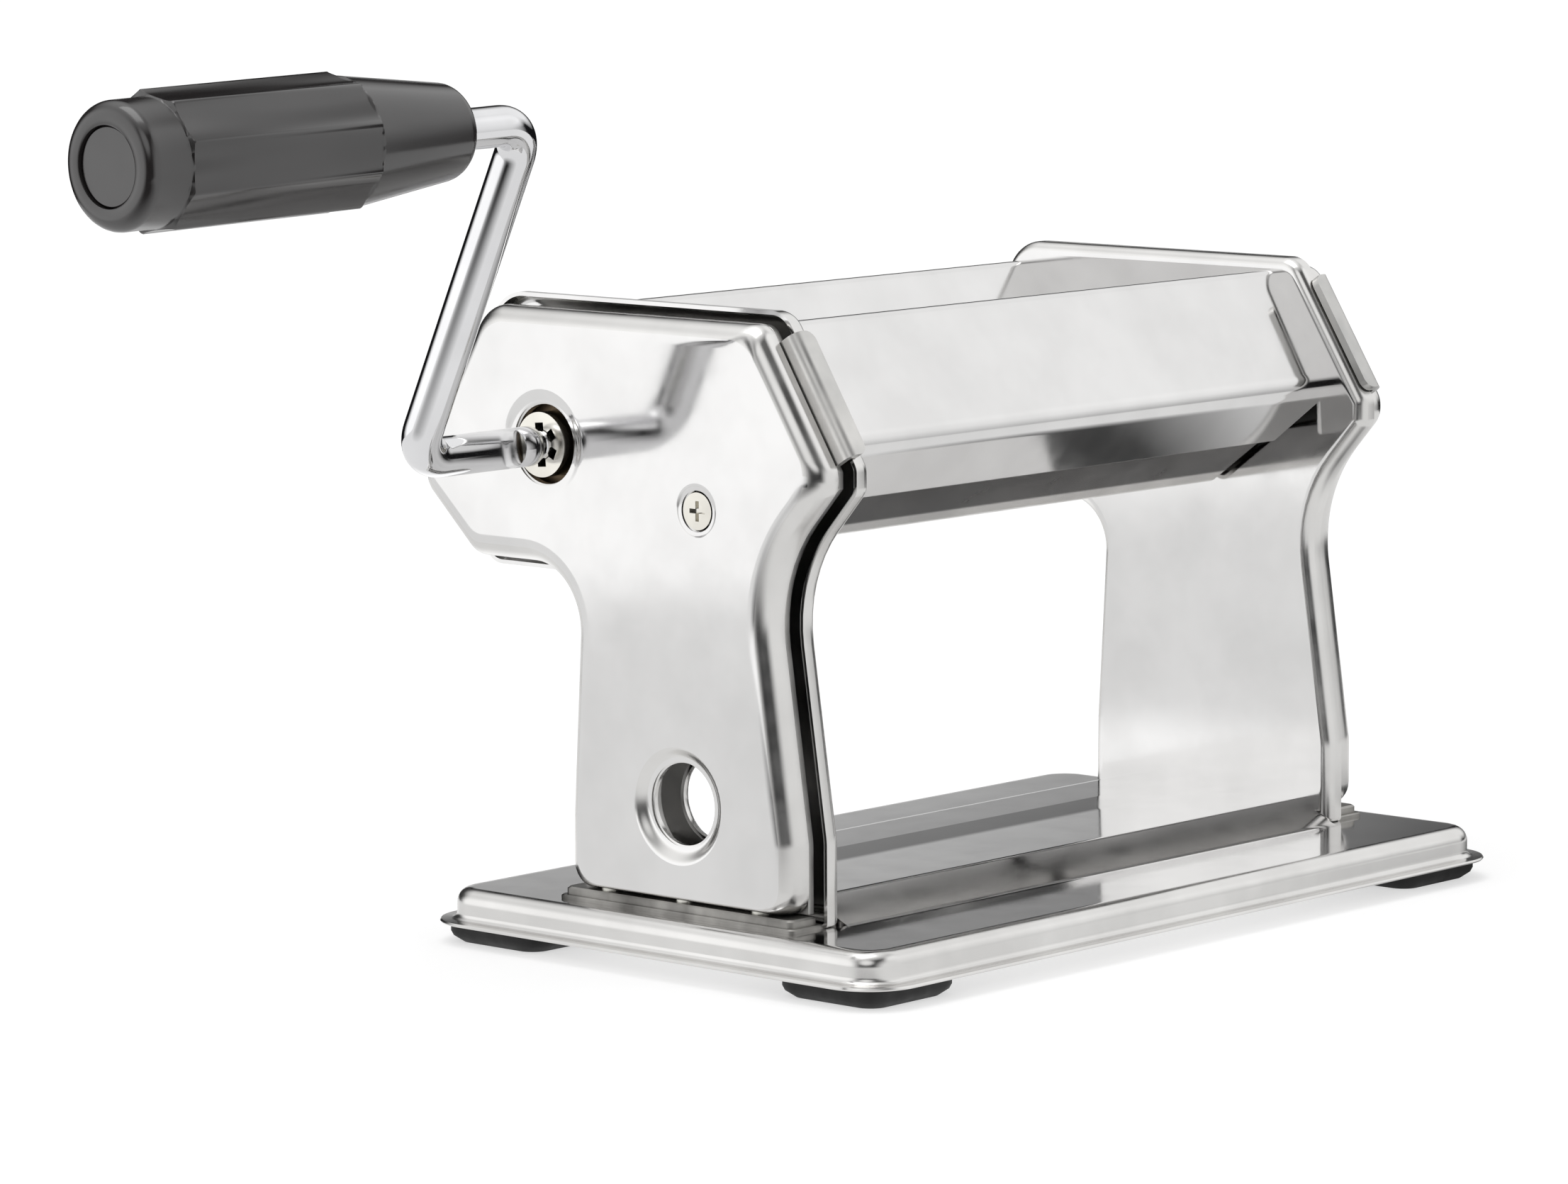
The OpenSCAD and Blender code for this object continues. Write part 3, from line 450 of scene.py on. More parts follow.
def dress_cad_nodes():
    """Gives each CAD node the finish of its slot; the scrapers get a near-black steel whose darkness is
    painted shade.
    """
    for name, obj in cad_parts.items():
        old = obj.data.materials[0].name if obj.data.materials else ""
        key = next((k for k in SLOT_MATERIALS if old.startswith(k)), "zinc_fixing")
        obj.data.materials.clear()
        obj.data.materials.append(SCRAPER_SHADE_STEEL if name.endswith("_scraper") else SLOT_MATERIALS[key])


# ---- Covers and panels ----

COVER_ROUND = 4.6
PANEL_ROUND = 2.4
# Lower edge of the covers, just above the feet of the panels and frames
COVER_BOTTOM = BASE_TOP + SHEET + FRAME_T + 0.2
COVER_FOOT_R = 4.5
COVER_FOOT_RISE = 1.2
# The two lower corners and the two waist corners of SIDE_CORNERS
FOOT_CORNERS = (5, 6)
WAIST = (1, 2)
WAIST_R = 9.0
HEAD_R = 10.0
# Arc steps per corner, the same for the cover's lip and face, so that its rings can be joined
COVER_STEPS = [12, 5, 7, 24, 6, 8, 8, 6, 16, 8, 10, 8, 12]


def crossing(a, b, c, d):
    """Where the line through a and b meets the line through c and d."""
    a, b, c, d = (Vector(p[:2]) for p in (a, b, c, d))
    u = b - a
    v = d - c
    t = ((c - a).x * v.y - (c - a).y * v.x) / (u.x * v.y - u.y * v.x)
    return a + u * t


def cover_outline(d, foot_z, least):
    """The side's outline moved in by d, with a level lower edge at foot_z above the feet."""
    corners = list(SIDE_CORNERS)
    for i in FOOT_CORNERS:
        corners[i] = (corners[i][0], foot_z - d, COVER_FOOT_R + d)
    return inset(corners, d, least)


def cover_lip():
    """Free edge of the cover."""
    return rounded(cover_outline(COVER_INSET, COVER_BOTTOM, COVER_ROUND), COVER_STEPS)


def cover_face():
    """Edge of the cover's flat face; the two corners at the waist run together into one soft one."""
    corners = cover_outline(COVER_INSET + COVER_ROUND, COVER_BOTTOM + COVER_FOOT_RISE, 5.0)
    for i in (0, -1):
        corners[i] = (corners[i][0], corners[i][1], HEAD_R)
    counts = list(COVER_STEPS)
    first, second = WAIST
    merged = crossing(corners[first - 1], corners[first], corners[second], corners[second + 1])
    corners[first:second + 1] = [(merged.x, merged.y, WAIST_R)]
    counts[first:second + 1] = [counts[first] + counts[second] + 1]
    return rounded(corners, counts)


def cover_ring(d, x):
    """Ring of the cover d in from its lip, between the lip's outline and the face's."""
    t = d / COVER_ROUND
    pairs = zip(cover_lip(), cover_face())
    return [(x, a[0] + (b[0] - a[0]) * t, a[1] + (b[1] - a[1]) * t) for a, b in pairs]


def pressed_hole(shape, side, face_x, centre, stations):
    """Rings of a pressed hole below the plane face_x; returns its outermost ring."""
    rings = [at_x(side * (face_x - depth), ring_points(centre, r)) for r, depth in stations]
    return shape.stack(rings)[0]


def outer_cover(side, name, cad_node):
    shape = Shape()
    outside = [(0.0, COVER_LIP), (0.0, COVER_LIP + 0.3)]
    outside += [(i, COVER_X - drop) for i, drop in round_edge(COVER_ROUND, 9)]
    outside += [(COVER_ROUND + 0.3, COVER_X)]
    inner_round = COVER_ROUND - SHEET
    inside = [(SHEET, COVER_LIP)]
    inside += [(SHEET + i, COVER_X - SHEET - drop) for i, drop in round_edge(inner_round, 5)]
    inside += [(COVER_ROUND + 0.3, COVER_X - SHEET)]
    skins = []
    for stations in (outside, inside):
        rings = [cover_ring(d, side * x) for d, x in stations]
        skins.append(shape.stack(rings))
    shape.bridge(skins[0][0], skins[1][0])
    holes = [(COVER_SCREW, dimple(5.4, 3.85, 0.22, 1.2, 5))]
    if side == LEFT:
        holes += [(HUB, dimple(11.2, 8.0, 0.45, 2.2, 9)), (CLAMP, dimple(12.0, CLAMP_R, 1.5, 1.6, 12))]
    else:
        holes += [((KNOB_Y, AXIS_Z), dimple(5.6, 4.3, 0.0, 1.0, 2))]
    outer_rings = [pressed_hole(shape, side, COVER_X, c, s) for c, s in holes]
    shape.fill(skins[0][-1], *outer_rings)
    inner_rings = [shape.ring(at_x(side * (COVER_X - SHEET), ring_points(c, s[0][0]))) for c, s in holes]
    shape.fill(skins[1][-1], *inner_rings)
    made = shape.make(name, POLISHED, "frame", "polished_steel", cad_node)
    return satin_where(made, off_the_face)


# Holes of the inner panels, for the rollers' journals and the tie rods
DRIVE_HOLE_R = {LEFT: 7.1, RIGHT: 6.1}
JOURNAL_HOLE_R = 6.1
GAP_TRAVEL = 2.4
TIE_HOLE_R = 3.8
TIE_SPOTS = ((-21, AXIS_Z + 5.4), (58, AXIS_Z + 2.4), (54, AXIS_Z - 11.6))
PANEL_FOOT_HALF = 31.3
FRAME_FOOT_HALF = 30.3


def inner_panel(side, name, cad_node):
    shape = Shape()
    flange_x = PANEL_X + PANEL_FLANGE
    outside = [(0.0, flange_x), (0.0, flange_x - 0.3)]
    outside += [(i, PANEL_X + drop) for i, drop in round_edge(PANEL_ROUND, 6)]
    outside += [(PANEL_ROUND + 0.3, PANEL_X)]
    inside = [(SHEET, flange_x)]
    inside += [(SHEET + i, PANEL_X + SHEET + drop) for i, drop in round_edge(PANEL_ROUND - SHEET, 4)]
    inside += [(PANEL_ROUND + 0.3, PANEL_X + SHEET)]
    skins = []
    for stations in (outside, inside):
        rings = [at_x(side * x, rounded(inset(SIDE_CORNERS, d))) for d, x in stations]
        skins.append(shape.stack(rings))
    shape.bridge(skins[0][0], skins[1][0])
    openings = [ring_points(HUB, DRIVE_HOLE_R[side]), slot_points(JOURNAL_HOLE_R)]
    openings += [ring_points(p, TIE_HOLE_R) for p in TIE_SPOTS]
    faces = [[], []]
    for points in openings:
        rims = shape.stack([at_x(side * PANEL_X, points), at_x(side * (PANEL_X + SHEET), points)])
        faces[0].append(rims[0])
        faces[1].append(rims[1])
    if side == LEFT:
        # Lip pressed inwards round the clamp's hole, as (radius, depth), and the back of its sheet
        lip = [(10.4, 0.0), (10.0, 0.0), (9.3, 0.15), (8.7, 0.5), (8.35, 1.0), (CLAMP_R, 1.6), (CLAMP_R, 2.4)]
        made = shape.stack([at_x(side * (PANEL_X + d), ring_points(CLAMP, r)) for r, d in lip])
        back = [(9.0, 2.4), (9.1, 1.8), (9.6, 1.2), (10.4, SHEET)]
        behind = shape.stack([at_x(side * (PANEL_X + d), ring_points(CLAMP, r)) for r, d in back])
        shape.bridge(made[-1], behind[0])
        faces[0].append(made[0])
        faces[1].append(behind[-1])
    shape.fill(skins[0][-1], *faces[0])
    shape.fill(skins[1][-1], *faces[1])
    foot = Shape()
    foot_slab(foot, side, PANEL_X + 0.4, COVER_X + 0.4, PANEL_FOOT_HALF, BASE_TOP, BASE_TOP + SHEET)
    # The panel's foot slab wears the dark cut-edge finish, whose darkness is partly painted contact shade.
    foot.make(name + "_foot", CUT_EDGE_AND_SHADE, "frame", "polished_steel")
    made = shape.make(name, POLISHED, "frame", "polished_steel", cad_node)
    return satin_where(made, off_the_face)


def slot_points(r, count=24):
    """Outline of the slot that the front roller's journal moves along."""
    turn = [math.pi * k / count for k in range(count + 1)]
    rear = [(ADJUST_Y + r * math.sin(a), AXIS_Z - r * math.cos(a)) for a in turn]
    front = [(ADJUST_Y - GAP_TRAVEL - r * math.sin(a), AXIS_Z + r * math.cos(a)) for a in turn]
    return rear + front


def foot_slab(shape, side, x0, x1, half_y, z0, z1, soft=0.25):
    """A flat foot with broken edges, under a side."""
    rings = []
    for z, d in ((z0, 0.0), (z1 - soft, 0.0), (z1, soft)):
        a, b, y = x0 + d, x1 - d, half_y - d
        corners = [(a, -y, 0.5), (b, -y, 1.5), (b, y, 1.5), (a, y, 0.5)]
        rings.append([(side * p[0], p[1], z) for p in rounded(corners)])
    made = shape.stack(rings)
    shape.fill(made[0])
    shape.fill(made[-1])


# ---- Side frames with their rails ----

SLOPE_START = Vector(SIDE_CORNERS[0][:2])
SLOPE_DIR = (Vector(SIDE_CORNERS[1][:2]) - SLOPE_START).normalized()
SLOPE_OUT = Vector((SLOPE_DIR.y, -SLOPE_DIR.x))
RAIL_FROM = 5.3
RAIL_L = 27.0
RAIL_STAND = 2.0


def slope_point(along, out):
    """(y, z) of a point along the head's front slope and out from it."""
    p = SLOPE_START + along * SLOPE_DIR + out * SLOPE_OUT
    return (p.x, p.y)


def side_frame(side, name, cad_node):
    shape = Shape()
    plate = [(0.2, FRAME_X), (0.0, FRAME_X + 0.2), (0.0, FRAME_OUT - 0.2), (0.2, FRAME_OUT)]
    rings = [at_x(side * x, rounded(inset(SIDE_CORNERS, FRAME_INSET + d))) for d, x in plate]
    made = shape.stack(rings)
    holes = [ring_points(HUB, 9)]
    if side == LEFT:
        holes.append(ring_points(CLAMP, CLAMP_R + 3.5))
    front = []
    back = []
    for points in holes:
        rims = shape.stack([at_x(side * FRAME_X, points), at_x(side * FRAME_OUT, points)])
        front.append(rims[0])
        back.append(rims[1])
    shape.fill(made[0], *front)
    shape.fill(made[-1], *back)
    foot = Shape()
    under = BASE_TOP + SHEET
    foot_slab(foot, side, FRAME_X, COVER_X - 0.3, FRAME_FOOT_HALF, under, under + FRAME_T, 0.4)
    # The frame's foot slab wears the dark cut-edge finish, whose darkness is partly painted contact shade.
    foot.make(name + "_foot", CUT_EDGE_AND_SHADE, "frame", "galvanised")
    rail(shape, side)
    return shape.make(name, GALVANISED, "frame", "galvanised", cad_node)


def rail(shape, side):
    """Tab of the side frame, bent over the front slope, with rounded free corners."""
    inner_x = PANEL_X + FRAME_T
    bend = 2.2
    section = arc_path([(inner_x, RAIL_STAND), (FRAME_OUT, RAIL_STAND, bend), (FRAME_OUT, -FRAME_INSET - 2)])
    section = with_supports(section)
    under = offset_path(section, -FRAME_T)
    corner = 2.2
    cuts = [corner * (1 - math.cos(math.pi / 2 * k / 5)) for k in range(6)]
    reach = [corner * (1 - math.sin(math.pi / 2 * k / 5)) for k in range(6)]
    stations = [(RAIL_FROM + c, r) for c, r in zip(cuts, reach)]
    stations += [(RAIL_FROM + RAIL_L - c, r) for c, r in zip(reversed(cuts), reversed(reach))]
    rings = []
    for along, pulled in stations:
        ring = []
        for x, out in section:
            ring.append((side * max(x, inner_x + pulled), *slope_point(along, out)))
        for x, out in reversed(under):
            ring.append((side * max(x, inner_x + pulled), *slope_point(along, out)))
        rings.append(ring)
    made = shape.stack(rings)
    shape.fill(made[0])
    shape.fill(made[-1])


# ---- Base ----


def slab_ring(half_x, half_y, r, z):
    """Level rectangle with round corners."""
    corners = [(-half_x, -half_y, r), (half_x, -half_y, r), (half_x, half_y, r), (-half_x, half_y, r)]
    return [(x, y, z) for x, y in rounded(corners, [14] * 4)]


def base_ring(d, z):
    """Outline of the base, moved in by d."""
    return slab_ring(BASE_HALF_X - d, BASE_HALF_Y - d, max(BASE_CORNER_R - d, 1.5), z)


BASE_CORNER_R = 11.4
RIM_W = 3.5
RIM_COVE = 1.3
CROWN_R = 3.0
PLATEAU_FRONT = 34.0
PLATEAU_EDGE = 24.0
PLATEAU_TOP = BASE_TOP + 4.7


def on_the_rim(place, normal):
    """Whether a face of the base belongs to its rolled rim."""
    return max(abs(place.x) - BASE_HALF_X, abs(place.y) - BASE_HALF_Y) > -(RIM_W + CROWN_R + 0.1)


def base(name, cad_node):
    shape = Shape()
    lip = [(0.9, 0.0), (0.25, 0.1), (0.0, 0.4), (0.25, 0.75), (0.7, SHEET)]
    top = [(d, FOOT_H + rise) for d, rise in lip]
    for k in range(7):
        a = math.pi / 2 * k / 6
        top.append((RIM_W - RIM_COVE * (1 - math.sin(a)), FOOT_H + SHEET + RIM_COVE * (1 - math.cos(a))))
    for k in range(9):
        a = math.pi / 2 * k / 8
        top.append((RIM_W + CROWN_R * (1 - math.cos(a)), BASE_TOP - CROWN_R * (1 - math.sin(a))))
    top += [(RIM_W + CROWN_R + 0.4, BASE_TOP)]
    skin = shape.stack([base_ring(d, z) for d, z in top])
    under = [(0.9, FOOT_H), (RIM_W + SHEET, FOOT_H), (RIM_W + SHEET, BASE_TOP - CROWN_R)]
    under += [(5.2, BASE_TOP - 1.4), (7.0, BASE_TOP - SHEET)]
    below = shape.stack([base_ring(d, z) for d, z in under])
    section = arc_path([
        (-PLATEAU_FRONT - 3, BASE_TOP),
        (-PLATEAU_FRONT, BASE_TOP, 3.0),
        (-PLATEAU_EDGE, PLATEAU_TOP, 2.5),
        (0.0, PLATEAU_TOP - 0.25, 60.0),
        (10.0, PLATEAU_TOP - 0.05, 8.0),
        (PLATEAU_EDGE, PLATEAU_TOP, 4.0),
        (PLATEAU_FRONT, BASE_TOP, 3.0),
        (PLATEAU_FRONT + 3, BASE_TOP),
    ])
    section = with_supports(section)
    front, rear = section[0][0], section[-1][0]
    window = [(-PANEL_X, front), (PANEL_X, front), (PANEL_X, rear), (-PANEL_X, rear)]
    for rings, z, lowered in ((skin, BASE_TOP, 0.0), (below, BASE_TOP - SHEET, SHEET)):
        hole = shape.ring([(x, y, z) for x, y in window])
        shape.fill(rings[-1], hole)
        near = shape.ring([(-PANEL_X, y, h - lowered) for y, h in section])
        far = shape.ring([(PANEL_X, y, h - lowered) for y, h in section])
        shape.bridge(near, far, closed=False)
        if not lowered:
            shape.faces.append(tuple(near))
            shape.faces.append(tuple(far))
    made = shape.make(name, POLISHED, "frame", "polished_steel", cad_node)
    return satin_where(made, on_the_rim)


FOOT_HALF = 13.5
FOOT_INSET = 3.0


def feet(name, cad_node):
    """Four pads with a chamfered tread, and a plug that holds each in the base."""
    shape = Shape()
    stations = [(2.6, 0.0), (0.9, 1.3), (0.5, 2.2), (0.5, FOOT_H), (2.6, FOOT_H), (2.6, BASE_TOP - SHEET)]
    middle_in = FOOT_INSET + FOOT_HALF
    for sx in (-1, 1):
        for sy in (-1, 1):
            start = len(shape.points)
            made = shape.stack([slab_ring(FOOT_HALF - d, FOOT_HALF - d, 5 - d * 0.5, z) for d, z in stations])
            shape.fill(made[0])
            shape.fill(made[-1])
            centre = (sx * (BASE_HALF_X - middle_in), sy * (BASE_HALF_Y - middle_in), 0)
            shape.transform(Matrix.Translation(centre), start)
    return shape.make(name, RUBBER, "frame", "foot_rubber", cad_node)


# ---- Guards and scrapers ----


def bent_sheet(shape, corners, x0, x1, thickness, cut=None):
    """A bent sheet along X whose left face is the path, with rounded long edges.

    A cut of (from z, to z) slopes the ends inwards at 45 degrees on the last run below the first height.
    """
    path = arc_path(corners)
    if cut:
        end_point = Vector(corners[-1][:2])
        run = (end_point - Vector(corners[-2][:2])).normalized()
        path.insert(-1, tuple(end_point - run * (cut[0] - cut[1]) / abs(run.y)))
    path = with_supports(path)
    back = offset_path(path, -thickness)
    loop = path[1:-1] + rounded_end(path, back, -1)
    loop += list(reversed(back[1:-1])) + rounded_end(back, path, 0)

    def pulled(y, z):
        """How far the end is cut back at a point of the section."""
        if not cut or y <= corners[-2][0] - 2 or y >= RIDGE_Y:
            return 0.0
        return max(0.0, cut[0] - z)

    rings = []
    for end, way in ((x0, 1), (x1, -1)):
        rings.append([(end + way * pulled(y, z), y, z) for y, z in loop])
    made = shape.stack(rings)
    shape.fill(made[0])
    shape.fill(made[-1])


def rounded_end(side_a, side_b, index):
    """Half-round edge of a sheet from side_a's end to side_b's end."""
    a = Vector(side_a[index])
    b = Vector(side_b[index])
    inward = (Vector(side_a[1 if index == 0 else -2]) - a).normalized()
    mid = (a + b) / 2
    r = (a - b).length / 2
    across = (a - b).normalized()
    turn = [math.pi * k / 6 for k in range(7)]
    return [tuple(mid + across * r * math.cos(t) + inward * (r - r * math.sin(t))) for t in turn]


RIDGE_Y = -16.4
GUARD_LOW = (-22.8, AXIS_Z - 8.6)
GUARD_CUT = 8.0


def front_guard(name, cad_node):
    """Hopper side, front slope and lower band, whose two lower corners are cut off at 45 degrees."""
    shape = Shape()
    corners = [
        (RIDGE_Y + 12.4, AXIS_Z + 11.4),
        (RIDGE_Y, AXIS_Z + 26.2, 1.0),
        (-30.6, AXIS_Z + 2.5, 4.0),
        GUARD_LOW,
    ]
    cut = (GUARD_LOW[1] + GUARD_CUT, GUARD_LOW[1])
    bent_sheet(shape, corners, -PANEL_X, PANEL_X, SHEET, cut)
    return shape.make(name, POLISHED, "frame", "polished_steel", cad_node)


def rear_guard(name, cad_node):
    shape = Shape()
    corners = [
        (DRIVE_Y + 20, AXIS_Z - 18.4),
        (64.5, AXIS_Z - 9.6, 2.5),
        (64.5, AXIS_Z + 1.9, 4.0),
        (DRIVE_Y + 16.8, AXIS_Z + 25, 1.0),
        (DRIVE_Y + 9.6, AXIS_Z + 12.6),
    ]
    bent_sheet(shape, corners, -PANEL_X, PANEL_X, SHEET)
    return shape.make(name, POLISHED, "frame", "polished_steel", cad_node)


# ---- Crank and handle ----

CRANK_LEAN = math.radians(25)
CRANK_ARM = 73.4
ARM_X = COVER_X + 36
BEND_R = 7.0
DROOP = math.radians(1.6)
ROD_R = 4.0
SHOULDER_X = COVER_X + 2.5
TANG_X = COVER_X - 15.0
UPPER_TURN = math.pi / 2 + DROOP
UPPER_RUN = BEND_R * math.tan(UPPER_TURN / 2)
CRANK_FRAME = Matrix.Translation((0, DRIVE_Y, AXIS_Z)) @ Matrix.Rotation(CRANK_LEAN, 4, "X")
HANDLE_FRAME = CRANK_FRAME @ Matrix.Translation((-ARM_X, 0, CRANK_ARM)) @ Matrix.Rotation(-DROOP, 4, "Y")
HANDLE_START = 20.0
TAPER_END = 49.0
GRIP_END = 96.0
HANDLE_END = 106.0
RIVET_S = HANDLE_END - 0.8 - 2.4 - 3.5


def tube(shape, stations, across, count=48):
    """Skin of round sections; each station is (centre, direction, radius)."""
    rings = []
    for centre, direction, r in stations:
        u = direction.cross(across).normalized()
        rings.append([
            centre + r * (math.cos(2 * math.pi * k / count) * across + math.sin(2 * math.pi * k / count) * u)
            for k in range(count)
        ])
    made = shape.stack(rings)
    shape.fill(made[0])
    shape.fill(made[-1])


def crank_rod(name, cad_node):
    """Tang, ringed neck, shoulder, hub leg, arm and handle leg of the rod, in the crank's own frame."""
    shape = Shape()
    out = Vector((-1, 0, 0))
    stations = []
    neck = [(TANG_X, 2.6), (TANG_X + 0.5, 3.0)]
    neck += [(COVER_X + x, r) for x, r in ((1.1, 3.0), (1.5, 2.8), (1.9, 3.0))]
    neck += [(SHOULDER_X + x, r) for x, r in ((0.0, 3.1), (0.35, 3.55), (0.9, 3.9), (1.3, ROD_R))]
    neck += [(SHOULDER_X + x, ROD_R - groove) for x, groove in ((5.6, 0), (5.8, 0.12), (6.2, 0.12), (6.4, 0))]
    neck.append((ARM_X - BEND_R - 0.4, ROD_R))
    for x, r in neck:
        stations.append((Vector((-x, 0, 0)), out, r))
    centre = Vector((BEND_R - ARM_X, 0, BEND_R))
    steps = 16
    for k in range(steps + 1):
        a = math.pi / 2 * k / steps
        place = centre + BEND_R * Vector((-math.sin(a), 0, -math.cos(a)))
        stations.append((place, Vector((-math.cos(a), 0, math.sin(a))), ROD_R))
    stations.append((Vector((-ARM_X, 0, BEND_R + 0.6)), Vector((0, 0, 1)), ROD_R))
    stations.append((Vector((-ARM_X, 0, CRANK_ARM - UPPER_RUN - 0.6)), Vector((0, 0, 1)), ROD_R))
    centre = Vector((-ARM_X - BEND_R, 0, CRANK_ARM - UPPER_RUN))
    for k in range(steps + 1):
        a = UPPER_TURN * k / steps
        place = centre + BEND_R * Vector((math.cos(a), 0, math.sin(a)))
        stations.append((place, Vector((-math.sin(a), 0, math.cos(a))), ROD_R))
    corner = Vector((-ARM_X, 0, CRANK_ARM))
    away = Vector((-math.cos(DROOP), 0, -math.sin(DROOP)))
    handle_leg = [(UPPER_RUN + 0.6, ROD_R), (RIVET_S, ROD_R)]
    riveted_end = [(RIVET_S, 4.8), (RIVET_S + 0.9, 4.6), (RIVET_S + 1.4, 3.6)]
    for s, r in handle_leg + riveted_end:
        stations.append((corner + s * away, away, r))
    tube(shape, stations, Vector((0, 1, 0)))
    shape.transform(CRANK_FRAME)
    return shape.make(name, CHROME, "crank", "chrome_rod", cad_node)


FLUTES = 9
GRIP_R = 13.4
COLLAR_R = 11.9
TAPER_R = 9.0
FLUTE_DEPTH = 1.3
FLUTE_TURN = math.radians(17)
PLUG_R = 7.4


def flute_cut(angle, radius, depth):
    """Radius at an angle of a round grip with shallow hollows between its ridges."""
    half = math.pi / FLUTES
    width = radius * math.sin(half)
    sag = radius * math.cos(half) - radius + depth
    r = (width * width + sag * sag) / (2 * sag)
    middle_r = radius - depth + r
    a = (angle - FLUTE_TURN) % (2 * half) - half
    inside = r * r - (middle_r * math.sin(a)) ** 2
    if inside <= 0:
        return radius
    return min(radius, middle_r * math.cos(a) - math.sqrt(inside))


def handle(name, cad_node):
    shape = Shape()
    count = FLUTES * 20
    angles = [2 * math.pi * k / count for k in range(count)]

    def section(s, r, depth=0.0):
        """Ring of the handle at s along its axis."""
        reach = [flute_cut(a, r, depth) if depth else r for a in angles]
        return [(-s, q * math.cos(a), q * math.sin(a)) for a, q in zip(angles, reach)]

    rings = [section(HANDLE_START + 3, ROD_R + 0.15), section(HANDLE_START, ROD_R + 0.15)]
    soft = 3.2
    lean = math.atan2(GRIP_R - 1.1 - TAPER_R, TAPER_END - HANDLE_START)
    for k in range(9):
        a = (math.pi / 2) * k / 8
        along = soft * (1 - math.cos(a))
        reach = TAPER_R - soft * (1 - math.sin(a)) + math.tan(lean) * along
        rings.append(section(HANDLE_START + along, reach))
    end_r = GRIP_R - 1.0
    rings.append(section(TAPER_END - 0.5, end_r))
    rings.append(section(TAPER_END, end_r + 0.05))
    rings.append(section(TAPER_END + 0.25, GRIP_R - 0.25, FLUTE_DEPTH - 0.4))
    rings.append(section(TAPER_END + 0.6, GRIP_R, FLUTE_DEPTH))
    rings.append(section(GRIP_END - 0.6, GRIP_R, FLUTE_DEPTH))
    rings.append(section(GRIP_END - 0.25, GRIP_R - 0.25, FLUTE_DEPTH - 0.3))
    rings.append(section(GRIP_END, COLLAR_R + 0.1))
    rings.append(section(GRIP_END + 0.3, COLLAR_R))
    rim = 2.8
    for k in range(9):
        a = (math.pi / 2) * k / 8
        rings.append(section(HANDLE_END - rim * (1 - math.sin(a)), COLLAR_R - rim * (1 - math.cos(a))))
    rings.append(section(HANDLE_END, PLUG_R + 0.5))
    rings.append(section(HANDLE_END - 0.2, PLUG_R + 0.15))
    rings.append(section(HANDLE_END - 1.4, PLUG_R + 0.1))
    shape.stack(rings)
    shape.transform(HANDLE_FRAME)
    return shape.make(name, GRIP, "handle", "grip_plastic", cad_node, sharp=40)


def handle_plug(name, cad_node):
    shape = Shape()
    face = HANDLE_END - 0.8
    stations = [(face - 2.4, PLUG_R), (face - 0.3, PLUG_R), (face, PLUG_R - 0.3), (face, PLUG_R - 0.8)]
    rings = [[(-s, y, z) for y, z in ring_points((0, 0), r, 64)] for s, r in stations]
    made = shape.stack(rings)
    shape.fill(made[0])
    shape.fill(made[-1])
    shape.transform(HANDLE_FRAME)
    return shape.make(name, GRIP, "handle", "grip_plastic", cad_node)


# ---- Camera, floor and light ----


def camera():
    azimuth = math.radians(-48.117)
    elevation = math.radians(7.584)
    roll = math.radians(-0.274)
    distance = 1362.3
    aside = -39.085
    above = 5.744
    target = Vector((0, 0, 60))
    back = Vector((
        math.sin(azimuth) * math.cos(elevation),
        -math.cos(azimuth) * math.cos(elevation),
        math.sin(elevation),
    ))
    right = Vector((0, 0, 1)).cross(back).normalized()
    up = back.cross(right)
    across = right * math.cos(roll) + up * math.sin(roll)
    upward = up * math.cos(roll) - right * math.sin(roll)
    place = target + back * distance + across * aside + upward * above
    data = bpy.data.cameras.new("camera")
    data.sensor_width = 36
    data.lens = 152.186
    data.clip_end = 30
    obj = bpy.data.objects.new("camera", data)
    turn = Matrix((across, upward, back)).transposed().to_4x4()
    obj.matrix_world = Matrix.Translation(place * MM) @ turn
    bpy.context.scene.collection.objects.link(obj)
    bpy.context.scene.camera = obj


# The floor is in metres: its radius, its own glow, and how bright the metal mirrors it
FLOOR_R = 0.62
FLOOR_GLOW = 0.57
FLOOR_LEVEL = 0.92
# Soft spots of what the metal mirrors of the floor, as (centre, radii between which it fades, level inside)
FLOOR_SPOTS = [
    ((-0.5, -0.12, 0.0), 0.1, 0.3, 0.02),
    ((0.12, -0.02, 0.0), 0.03, 0.09, 0.06),
    ((0.02, 0.11, 0.0), 0.07, 0.12, 1.25),
]


